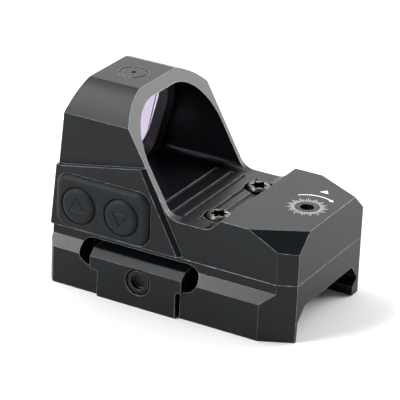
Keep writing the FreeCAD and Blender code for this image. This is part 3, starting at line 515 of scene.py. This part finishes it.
@dataclass(frozen=True)
class FilledPaint(Finish):
    """White enamel, wiped into laser-cut lines: chalky, a little broken at its rim."""

    pigment: str = "#e9ebeb"
    thin: str = "#a9acae"
    wear_mm: float = 0.35
    ior: float = 1.5

    def paint(self, tree: bpy.types.NodeTree, shader: bpy.types.Node) -> None:
        """Lay the enamel, thinner in places.

        Args:
            tree: The material's nodes.
            shader: Its Principled shader.
        """
        wear = spread(tree, grain(tree, self.wear_mm, detail=4.0), -0.5, 0.8)
        colour = blend_colours(tree, wear, srgb(self.pigment), srgb(self.thin))
        tree.links.new(colour, shader.inputs["Base Color"])
        tree.links.new(spread(tree, wear, 0.5, 0.6), shader.inputs["Roughness"])
        shader.inputs["IOR"].default_value = self.ior


@dataclass(frozen=True)
class StudioPaper(Finish):
    """A sheet of matt white background paper, with a faint tooth."""

    pulp: str = "#e7e8e9"
    fibre: str = "#e3e4e5"
    cloud_mm: float = 30.0
    roughness: float = 0.9
    specular: float = 0.1

    def paint(self, tree: bpy.types.NodeTree, shader: bpy.types.Node) -> None:
        """Lay the paper's pulp.

        Args:
            tree: The material's nodes.
            shader: Its Principled shader.
        """
        pulp = spread(tree, grain(tree, self.cloud_mm), 0.0, 1.0)
        colour = blend_colours(tree, pulp, srgb(self.pulp), srgb(self.fibre))
        tree.links.new(colour, shader.inputs["Base Color"])
        shader.inputs["Roughness"].default_value = self.roughness
        shader.inputs["Specular IOR Level"].default_value = self.specular


ALUMINIUM = AnodisedAluminium("anodised_aluminium_bead_blasted")
RUBBER = MouldedRubber("silicone_rubber_moulded")
POLYMER = MouldedPolymer("glass_filled_nylon_moulded")
BURNISHED = MachinedMetal("steel_turned_burnished", Skin.BURNISHED)
BLACKED = MachinedMetal("steel_turned_black_oxide", Skin.BLACK_OXIDE)
DRAWN = MachinedMetal("spring_steel_drawn", Skin.DRAWN)
NICKEL = MachinedMetal("steel_pressed_nickel_plated", Skin.NICKEL)
TINNED = MachinedMetal("steel_pressed_tinned", Skin.TINNED)
BRASS = MachinedMetal("brass_milled", Skin.BRASS)
LENS_GLASS = CoatedGlass("optical_glass_lilac_coated")
WINDOW_GLASS = CoatedGlass("float_glass_polished", tint="#e8eef0")
BOARD = SolderMask("glass_epoxy_solder_mask")
EPOXY = CastEpoxy("epoxy_cast_clear")
PAINT = FilledPaint("enamel_wiped_white")
PAPER = StudioPaper("studio_paper_white")


# ------------------------------------------------------------------ mesh helpers


def new_piece(name: str, bm: bmesh.types.BMesh, finish: Finish, smooth: bool) -> bpy.types.Object:
    """Turn a finished bmesh into a piece of the scene.

    Args:
        name: The piece's name.
        bm: Its mesh, which is freed.
        finish: Its finish.
        smooth: Whether its faces shade smoothly.

    Returns:
        The piece, at the origin.
    """
    bmesh.ops.recalc_face_normals(bm, faces=bm.faces)
    for face in bm.faces:
        face.smooth = smooth
    mesh = bpy.data.meshes.new(name)
    bm.to_mesh(mesh)
    bm.free()
    piece = bpy.data.objects.new(name, mesh)
    bpy.context.scene.collection.objects.link(piece)
    finish.dress(piece)
    return piece


def bridge(
    bm: bmesh.types.BMesh, one: list[bmesh.types.BMVert], other: list[bmesh.types.BMVert]
) -> None:
    """Join two closed rings of as many corners with a band of quads.

    Args:
        bm: The mesh.
        one: The first ring's corners, in order.
        other: The second ring's corners, in the same order.
    """
    count = len(one)
    for i in range(count):
        j = (i + 1) % count
        bm.faces.new((one[i], one[j], other[j], other[i]))


def ring_edges(
    bm: bmesh.types.BMesh, ring: list[bmesh.types.BMVert]
) -> list[bmesh.types.BMEdge]:
    """Return the edges round a ring, made where they are missing.

    Args:
        bm: The mesh.
        ring: The ring's corners, in order.

    Returns:
        The edges, in order.
    """
    found = []
    for i, corner in enumerate(ring):
        pair = (corner, ring[(i + 1) % len(ring)])
        found.append(bm.edges.get(pair) or bm.edges.new(pair))
    return found


def quarter_round(radius: float, steps: int) -> list[tuple[float, float]]:
    """Return a rounded edge's profile.

    Args:
        radius: The edge's radius.
        steps: How many bands it is made of.

    Returns:
        For each step, how far in from the side and how far down from the top it lies.
    """
    turns = [math.pi / 2 * k / steps for k in range(steps + 1)]
    return [(radius * (1 - math.cos(t)), radius * (1 - math.sin(t))) for t in turns]


def ease_edges(piece: bpy.types.Object, width_mm: float, angle_deg: float) -> None:
    """Break a metal piece's sharp edges, as deburring does.

    Args:
        piece: A frame node, whose own mesh stays as it is.
        width_mm: How wide the broken edge is.
        angle_deg: The least turn between two faces that counts as an edge.
    """
    weld = piece.modifiers.new("weld", "WELD")
    weld.merge_threshold = WELD_MM * MM
    flat = piece.modifiers.new("merge_flats", "DECIMATE")
    flat.decimate_type = "DISSOLVE"
    flat.angle_limit = math.radians(MERGE_DEG)
    bevel = piece.modifiers.new("broken_edges", "BEVEL")
    bevel.width = width_mm * MM
    bevel.segments = 2
    bevel.limit_method = "ANGLE"
    bevel.angle_limit = math.radians(angle_deg)
    bevel.use_clamp_overlap = True
    bevel.miter_outer = "MITER_ARC"
    split = piece.modifiers.new("crisp_creases", "EDGE_SPLIT")
    split.split_angle = math.radians(SPLIT_DEG)
    split.use_edge_sharp = False


# ------------------------------------------------------------------ sub-assemblies


@dataclass
class Castings:
    """The frame nodes that keep their own shape: what each is made of."""

    nodes: dict[str, bpy.types.Object]
    deburr_mm: float = 0.14
    fine_mm: float = 0.05
    crease_deg: float = 28.0
    housing_crease_deg: float = 13.5
    metal: tuple[str, ...] = ("rail_mount", "sight_housing", "clamp_jaw", "battery_tray")
    finishes: dict[str, Finish] = field(
        default_factory=lambda: {
            "rail_mount": ALUMINIUM,
            "sight_housing": ALUMINIUM,
            "clamp_jaw": ALUMINIUM,
            "battery_tray": ALUMINIUM,
            "lens_bezel": POLYMER,
            "emitter_carrier": POLYMER,
            "base_gasket": RUBBER,
            "tray_seal": RUBBER,
            "objective_lens": LENS_GLASS,
            "emitter_window": WINDOW_GLASS,
            "mounting_screws": BURNISHED,
            "clamp_bolt": BLACKED,
            "clamp_washer": BLACKED,
            "jaw_guide_pins": BLACKED,
            "locating_pins": BLACKED,
            "elevation_screw": BLACKED,
            "windage_screw": BLACKED,
            "windage_nut": BRASS,
            "elevation_slide": BRASS,
            "emitter_diode": EPOXY,
            "main_board": BOARD,
            "switch_board": BOARD,
            "up_switch": TINNED,
            "down_switch": TINNED,
            "battery_cell": NICKEL,
            "battery_contact_top": DRAWN,
            "battery_contact_side": DRAWN,
        }
    )

    def dress(self) -> None:
        """Give every kept node its finish and broken edges."""
        for name, finish in self.finishes.items():
            piece = self.nodes[name]
            finish.dress(piece)
            if not isinstance(finish, CoatedGlass):
                width = self.deburr_mm if name in self.metal else self.fine_mm
                housing = name == "sight_housing"
                ease_edges(piece, width, self.housing_crease_deg if housing else self.crease_deg)
            LOG.info("%s: %s", name, finish.name)


class Symbol(Enum):
    """Which way a key's triangle points: up is +Z."""

    UP = 1
    DOWN = -1


@dataclass
class Keypad:
    """The rubber boot on the left wall and the two keys that stand in its holes."""

    round_mm: float = 2.35
    least_round_mm: float = 0.2
    edge_mm: float = 1.05
    lip_mm: float = 0.16
    hole_mm: float = 3.3
    key_mm: float = 3.295
    key_edge_mm: float = 0.95
    groove_mm: float = 0.2
    groove_deep_mm: float = 0.16
    triangle_mm: float = 1.55
    cap_thick_mm: float = 1.8
    crown_mm: float = 0.06
    post_mm: float = 0.9
    post_chamfer_mm: float = 0.15
    post_drop_mm: float = 1.3
    post_root_mm: float = 0.2
    turns: int = 72
    post_turns: int = 32
    edge_bands: int = 6
    lip_bands: int = 4
    face_rings: int = 34

    def build(self) -> None:
        """Make the boot and both keys."""
        centres = []
        for name, symbol in (("up_button", Symbol.UP), ("down_button", Symbol.DOWN)):
            low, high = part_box(name)
            # The cap stands higher than its post, so its centre is measured from its top.
            centre = Vector((low.x, (low.y + high.y) / 2, high.z - self.key_mm * MM))
            key = self.key(name.replace("button", "key"), centre, high.x, symbol)
            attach(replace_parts(key, name), name)
            centres.append((centre.y, centre.z))
            LOG.info("%s: %d corners", key.name, len(key.data.vertices))
        boot = self.boot(centres)
        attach(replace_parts(boot, "keypad_boot"), "base")
        LOG.info("%s: %d corners", boot.name, len(boot.data.vertices))

    def outline(self, low: Vector, high: Vector, inset: float) -> list[tuple[float, float]]:
        """Return the boot's rounded outline.

        Args:
            low: The boot's lowest corner.
            high: Its highest corner.
            inset: How far in from the sides the outline lies.

        Returns:
            The outline's (y, z) points, in order.
        """
        radius = max(self.round_mm * MM - inset, self.least_round_mm * MM)
        points = []
        for quarter, (y, z) in enumerate(
            ((high.y, high.z), (low.y, high.z), (low.y, low.z), (high.y, low.z))
        ):
            cy = y - math.copysign(inset + radius, y - (low.y + high.y) / 2)
            cz = z - math.copysign(inset + radius, z - (low.z + high.z) / 2)
            for step in range(self.turns // 4):
                turn = math.pi / 2 * (quarter + step / (self.turns // 4 - 1))
                points.append((cy + radius * math.cos(turn), cz + radius * math.sin(turn)))
        return points

    def boot(self, centres: list[tuple[float, float]]) -> bpy.types.Object:
        """Make the boot: a soft-edged slab with a lipped hole for each key.

        Args:
            centres: Each key's (y, z) centre.

        Returns:
            The boot.
        """
        low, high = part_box("keypad_boot")
        bm = bmesh.new()
        front, back = low.x, high.x
        rings = [[bm.verts.new((back, y, z)) for y, z in self.outline(low, high, 0.0)]]
        for inset, drop in quarter_round(self.edge_mm * MM, self.edge_bands):
            outline = self.outline(low, high, inset)
            rings.append([bm.verts.new((front + drop, y, z)) for y, z in outline])
        for one, other in zip(rings, rings[1:]):
            bridge(bm, one, other)
        front_edges, back_edges = ring_edges(bm, rings[-1]), ring_edges(bm, rings[0])
        for cy, cz in centres:
            profile = [(self.hole_mm * MM, back)]
            for inset, drop in quarter_round(self.lip_mm * MM, self.lip_bands):
                radius = self.hole_mm * MM + inset
                profile.append((radius, front + drop))
            hole = []
            for radius, x in profile:
                hole.append(
                    [
                        bm.verts.new((x, cy + radius * math.cos(t), cz + radius * math.sin(t)))
                        for t in (math.tau * k / self.turns for k in range(self.turns))
                    ]
                )
            for one, other in zip(hole, hole[1:]):
                bridge(bm, one, other)
            front_edges += ring_edges(bm, hole[-1])
            back_edges += ring_edges(bm, hole[0])
        bmesh.ops.triangle_fill(bm, use_beauty=True, edges=front_edges)
        bmesh.ops.triangle_fill(bm, use_beauty=True, edges=back_edges)
        boot = new_piece("keypad_rubber", bm, RUBBER, smooth=True)
        boot.modifiers.new("even_normals", "WEIGHTED_NORMAL")
        return boot

    def relief(self, y: float, z: float, symbol: Symbol) -> float:
        """Return how deep the triangle's groove is at a point of a key's face.

        Args:
            y: The point's distance from the key's centre, along Y.
            z: The same along Z.
            symbol: Which way the triangle points.

        Returns:
            The depth, in metres.
        """
        size = self.triangle_mm * MM
        corners = [
            Vector((size * math.sin(t), symbol.value * size * math.cos(t)))
            for t in (0.0, math.tau / 3, 2 * math.tau / 3)
        ]
        point = Vector((y, z))
        nearest = min(
            segment_distance(point, corners[i], corners[(i + 1) % 3]) for i in range(3)
        )
        share = max(0.0, 1 - nearest / (self.groove_mm * MM))
        return self.groove_deep_mm * MM * share * share * (3 - 2 * share)

    def key(
        self, name: str, centre: Vector, inner_x: float, symbol: Symbol
    ) -> bpy.types.Object:
        """Make one key: a round cap with a soft edge, its triangle, and its post.

        Args:
            name: The piece's name.
            centre: The middle of the cap's face.
            inner_x: Where the tip of its post lies.
            symbol: Which way its triangle points.

        Returns:
            The key.
        """
        bm = bmesh.new()
        cap_back = centre.x + self.cap_thick_mm * MM
        radius = self.key_mm * MM
        edge = self.key_edge_mm * MM
        profile = [(radius, cap_back)]
        bands = quarter_round(edge, self.edge_bands)
        profile += [(radius - inset, centre.x + drop) for inset, drop in bands]
        flat, steps = radius - edge, self.face_rings
        profile += [(flat * (1 - k / steps), centre.x) for k in range(1, steps)]
        rings = []
        # Only the rings near the face are crowned and grooved.
        for r, x in profile:
            ring = []
            for k in range(self.turns):
                turn = math.tau * k / self.turns
                y, z = r * math.cos(turn), r * math.sin(turn)
                crown = self.crown_mm * MM * (r / radius) ** 2
                depth = self.relief(y, z, symbol) + crown if x < cap_back - MM else 0.0
                ring.append(bm.verts.new((x + depth, centre.y + y, centre.z + z)))
            rings.append(ring)
        for one, other in zip(rings, rings[1:]):
            bridge(bm, one, other)
        middle = bm.verts.new((centre.x + self.relief(0, 0, symbol), centre.y, centre.z))
        for k in range(self.turns):
            bm.faces.new((rings[-1][k], rings[-1][(k + 1) % self.turns], middle))
        bm.faces.new(rings[0])
        self.post(bm, centre, cap_back, inner_x)
        return new_piece(name, bm, RUBBER, smooth=True)

    def post(self, bm: bmesh.types.BMesh, centre: Vector, root: float, tip: float) -> None:
        """Add the round post that works the switch behind a key.

        Args:
            bm: The key's mesh.
            centre: The middle of the cap's face.
            root: Where the post leaves the cap.
            tip: Where its rounded tip ends.
        """
        radius, chamfer = self.post_mm * MM, self.post_chamfer_mm * MM
        drop, sunk = self.post_drop_mm * MM, self.post_root_mm * MM
        rings = []
        for r, x in ((radius, root - sunk), (radius, tip - chamfer), (radius - chamfer, tip)):
            rings.append(
                [
                    bm.verts.new(
                        (x, centre.y + r * math.cos(t), centre.z - drop + r * math.sin(t))
                    )
                    for t in (
                        math.tau * k / self.post_turns for k in range(self.post_turns)
                    )
                ]
            )
        for one, other in zip(rings, rings[1:]):
            bridge(bm, one, other)
        bm.faces.new(rings[0])
        bm.faces.new(rings[-1])


def segment_distance(point: Vector, start: Vector, end: Vector) -> float:
    """Return how far a flat point is from the line between two others.

    Args:
        point: The point.
        start: One end of the line.
        end: The other end.

    Returns:
        The distance to the nearest point of the line.
    """
    along = end - start
    share = max(0.0, min(1.0, (point - start).dot(along) / along.length_squared))
    return (point - (start + along * share)).length


@dataclass
class Dial:
    """The paint-filled ticks and arrow round one adjusting screw.

    The marks lie in a plane: the first axis of the dial is where its angles start,
    and the second is a quarter turn on.
    """

    name: str
    centre: Vector
    first: Vector
    second: Vector
    inner_mm: float = 2.1
    short_mm: float = 2.75
    long_mm: float = 3.5
    ticks: int = 60
    long_every: int = 4
    odd_more_mm: float = 0.3
    stroke_mm: float = 0.052
    arrow_mm: float = 4.9
    arrow_from: float = 45.0
    arrow_to: float = -35.0
    arrow_stroke_mm: float = 0.24
    arrow_steps: int = 24
    head_mm: float = 0.95
    head_share: float = 0.45
    pointer_at: tuple[float, float] | None = None
    pointer_half_mm: float = 0.8
    pointer_long_mm: float = 1.1
    proud_mm: float = 0.012
    sunk_mm: float = 0.03

    def place(self, u: float, v: float, height: float) -> Vector:
        """Return the point of the dial at u, v and a height above its face."""
        normal = self.first.cross(self.second)
        return self.centre + self.first * u + self.second * v + normal * height

    def slab(self, bm: bmesh.types.BMesh, outline: list[tuple[float, float]]) -> None:
        """Add a flat mark of any outline, sunk into the face and just proud of it.

        Args:
            bm: The marks' mesh.
            outline: Its (u, v) corners, in order, in metres.
        """
        low = [bm.verts.new(self.place(u, v, -self.sunk_mm * MM)) for u, v in outline]
        top = [bm.verts.new(self.place(u, v, self.proud_mm * MM)) for u, v in outline]
        bridge(bm, low, top)
        bm.faces.new(low)
        bm.faces.new(top)

    def build(self) -> None:
        """Make the ticks, the arrow and the pointer, if there is one."""
        bm = bmesh.new()
        for k in range(self.ticks):
            turn = math.tau * k / self.ticks
            outer = self.short_mm + self.odd_more_mm * (k % 2)
            if k % self.long_every == 0:
                outer = self.long_mm
            along = Vector((math.cos(turn), math.sin(turn)))
            across = Vector((-along.y, along.x)) * self.stroke_mm * MM / 2
            near, far = along * self.inner_mm * MM, along * outer * MM
            corners = (near - across, far - across, far + across, near + across)
            self.slab(bm, [tuple(c) for c in corners])
        self.finish(bm, "ticks")
        bm = bmesh.new()
        self.slab(bm, self.arrow())
        if self.pointer_at:
            u, v = self.pointer_at
            half, tip = self.pointer_half_mm, u + self.pointer_long_mm
            corners = ((u, v - half), (u, v + half), (tip, v))
            self.slab(bm, [(a * MM, b * MM) for a, b in corners])
        self.finish(bm, "arrow")

    def arrow(self) -> list[tuple[float, float]]:
        """Return the outline of the curved arrow.

        Returns:
            Its (u, v) corners in order, tail first, in metres.
        """
        radius, half = self.arrow_mm * MM, self.arrow_stroke_mm * MM / 2
        neck = math.radians(self.arrow_to) + self.head_mm / self.arrow_mm
        start, steps = math.radians(self.arrow_from), self.arrow_steps
        turns = [start + (neck - start) * k / steps for k in range(steps + 1)]
        outer = [((radius + half) * math.cos(t), (radius + half) * math.sin(t)) for t in turns]
        inner = [((radius - half) * math.cos(t), (radius - half) * math.sin(t)) for t in turns]
        barb = self.head_mm * MM * self.head_share
        tip = math.radians(self.arrow_to)
        head = [
            ((radius + barb) * math.cos(neck), (radius + barb) * math.sin(neck)),
            (radius * math.cos(tip), radius * math.sin(tip)),
            ((radius - barb) * math.cos(neck), (radius - barb) * math.sin(neck)),
        ]
        return outer + head + inner[::-1]

    def finish(self, bm: bmesh.types.BMesh, part: str) -> None:
        """Make the marks a piece that rides on the housing.

        Args:
            bm: The marks' mesh, which is freed.
            part: What the marks are, for the piece's name.
        """
        piece = new_piece(f"{self.name}_{part}", bm, PAINT, smooth=False)
        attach(piece, "base")
        LOG.info("%s: %d corners", piece.name, len(piece.data.vertices))


@dataclass
class Coil:
    """A coil spring between two seats."""

    name: str
    node: str
    axis: int
    fixed_body: str
    moving_body: str
    fixed_low: bool
    wire_mm: float = 0.26
    coils: float = 4.0
    sides: int = 10
    steps: int = 28

    def build(self) -> None:
        """Wind the wire inside the space that its node holds."""
        low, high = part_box(self.node)
        others = [i for i in range(3) if i != self.axis]
        half = self.wire_mm * MM / 2
        radius = (high[others[0]] - low[others[0]]) / 2 - half
        middle = (low + high) / 2
        start, length = low[self.axis] + half, high[self.axis] - low[self.axis] - 2 * half
        bm = bmesh.new()
        rings = []
        count = int(self.coils * self.steps)
        for k in range(count + 1):
            turn = math.tau * k / self.steps
            outward = Vector((0, 0, 0))
            outward[others[0]], outward[others[1]] = math.cos(turn), math.sin(turn)
            along = Vector((0, 0, 0))
            along[self.axis] = 1.0
            centre = middle + outward * radius
            centre[self.axis] = start + length * k / count
            rings.append(
                [
                    bm.verts.new(centre + (outward * math.cos(t) + along * math.sin(t)) * half)
                    for t in (math.tau * s / self.sides for s in range(self.sides))
                ]
            )
        for one, other in zip(rings, rings[1:]):
            bridge(bm, one, other)
        bm.faces.new(rings[0])
        bm.faces.new(rings[-1])
        piece = new_piece(self.name, bm, DRAWN, smooth=True)
        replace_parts(piece, self.node)
        ends = [middle.copy(), middle.copy()]
        ends[0][self.axis] = low[self.axis] if self.fixed_low else high[self.axis]
        ends[1][self.axis] = high[self.axis] if self.fixed_low else low[self.axis]
        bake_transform(piece)
        LOG.info("%s: %d corners", piece.name, len(piece.data.vertices))


@dataclass(frozen=True)
class SoftBox:
    """A rectangular soft light that faces the object."""

    name: str
    at: tuple[float, float, float]
    size: tuple[float, float]
    watts: float

    def hang(self) -> None:
        """Hang the light where it belongs."""
        data = bpy.data.lights.new(self.name, "AREA")
        data.shape = "RECTANGLE"
        data.size, data.size_y = self.size
        data.energy = self.watts
        lamp = bpy.data.objects.new(self.name, data)
        lamp.location = self.at
        lamp.rotation_euler = Vector(self.at).to_track_quat("Z", "Y").to_euler()
        bpy.context.scene.collection.objects.link(lamp)


@dataclass
class Studio:
    """The paper floor, the soft lights and the camera."""

    lamps: tuple[SoftBox, ...] = (
        SoftBox("key_left_front", (-0.75, 0.60, 0.49), (0.42, 0.36), 12.5),
        SoftBox("fill_top_front", (-0.10, 0.52, 0.92), (1.0, 0.3), 9.5),
        SoftBox("rim_right_rear", (0.90, -0.66, 0.22), (0.5, 0.5), 6.8),
        SoftBox("fill_right_high", (0.80, -0.50, 0.62), (0.6, 0.6), 10.0),
    )
    floor_m: float = 6.0
    camera_at: tuple[float, float, float] = (-0.32962, -0.17910, 0.17880)
    azimuth: float = -61.21
    elevation: float = 24.27
    roll: float = 2.37
    lens_mm: float = 221.9
    sensor_mm: float = 36.0
    sky: str = "#ffffff"
    low_sky: float = 0.31
    overhead: float = 0.25
    window_at: tuple[float, float, float] = (0.95, 0.06, 0.27)
    window: float = 1.75
    sky_fade: tuple[float, float] = (0.3, 0.85)
    window_fade: tuple[float, float] = (0.45, 0.95)

    def build(self) -> None:
        """Make everything round the object."""
        self.floor()
        for lamp in self.lamps:
            lamp.hang()
        self.sky_light()
        self.camera()
        bpy.context.scene.view_settings.view_transform = "Standard"

    def floor(self) -> None:
        """Lay the paper just under the mount."""
        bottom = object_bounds()[0][2]
        bm = bmesh.new()
        bmesh.ops.create_grid(bm, x_segments=8, y_segments=8, size=self.floor_m / 2)
        bmesh.ops.translate(bm, verts=bm.verts, vec=(0, 0, bottom))
        new_piece("paper_floor", bm, PAPER, smooth=False)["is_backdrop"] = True

    def sky_light(self) -> None:
        """Fill the room with soft white light: darker overhead, with a window's glow."""
        world = bpy.data.worlds.new("studio")
        world.use_nodes = True
        tree = world.node_tree
        tree.nodes.clear()
        toward = add_node(tree, "ShaderNodeTexCoord").outputs["Generated"]
        height = add_node(tree, "ShaderNodeSeparateXYZ", {0: toward}).outputs["Z"]
        side = add_node(
            tree, "ShaderNodeVectorMath", {0: toward, 1: self.window_at}, operation="DOT_PRODUCT"
        ).outputs["Value"]
        fades = []
        for value, start, end, low, high in (
            (height, *self.sky_fade, self.low_sky, self.overhead),
            (side, *self.window_fade, 0.0, self.window),
        ):
            links = {0: value, 1: start, 2: end, 3: low, 4: high}
            fade = add_node(tree, "ShaderNodeMapRange", links, interpolation_type="SMOOTHSTEP")
            fades.append(fade.outputs["Result"])
        both = add_node(tree, "ShaderNodeMath", dict(enumerate(fades)), operation="ADD")
        links = {"Color": srgb(self.sky), "Strength": both.outputs[0]}
        glow = add_node(tree, "ShaderNodeBackground", links)
        add_node(tree, "ShaderNodeOutputWorld", {"Surface": glow.outputs[0]})
        bpy.context.scene.world = world

    def camera(self) -> None:
        """Set up the camera with a long lens, left of and behind the finder."""
        a, e, r = (math.radians(v) for v in (self.azimuth, self.elevation, self.roll))
        back = Vector((math.sin(a) * math.cos(e), -math.cos(a) * math.cos(e), math.sin(e)))
        right = Vector((math.cos(a), math.sin(a), 0))
        up = back.cross(right)
        right, up = right * math.cos(r) + up * math.sin(r), up * math.cos(r) - right * math.sin(r)
        data = bpy.data.cameras.new("camera")
        data.lens = self.lens_mm
        data.sensor_width = self.sensor_mm
        data.clip_start = 0.01
        camera = bpy.data.objects.new("camera", data)
        turn = Matrix((right, up, back)).transposed().to_4x4()
        camera.matrix_world = Matrix.Translation(self.camera_at) @ turn
        bpy.context.scene.collection.objects.link(camera)
        bpy.context.scene.camera = camera


def main() -> None:
    """Build the finder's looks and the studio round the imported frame."""
    logging.basicConfig(level=logging.INFO, format="%(message)s")
    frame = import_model()
    Castings(frame["nodes"]).dress()
    Keypad().build()
    right_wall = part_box("sight_housing")[1].x
    Dial(
        name="elevation_dial",
        centre=Vector(v * MM for v in ELEVATION_SCREW_MM),
        first=Vector((1, 0, 0)),
        second=Vector((0, 1, 0)),
        pointer_at=(6.6, 0.25),
    ).build()
    Dial(
        name="windage_dial",
        centre=Vector((right_wall, *(v * MM for v in WINDAGE_SCREW_MM))),
        first=Vector((0, 1, 0)),
        second=Vector((0, 0, 1)),
        inner_mm=1.85,
        short_mm=2.15,
        long_mm=2.5,
        ticks=32,
        arrow_mm=3.3,
        arrow_from=-150.0,
        arrow_to=-215.0,
    ).build()
    Coil(
        "elevation_coil", "elevation_spring", 2, "base", "elevation_slide", True, coils=3.0
    ).build()
    Coil("windage_coil", "windage_spring", 0, "elevation_slide", "emitter", True).build()
    for end in ("rear", "front"):
        node = f"jaw_spring_{end}"
        Coil(f"jaw_coil_{end}", node, 0, "base", "clamp_jaw", False).build()
    Studio().build()
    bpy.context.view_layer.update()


if __name__ == "__main__":
    main()
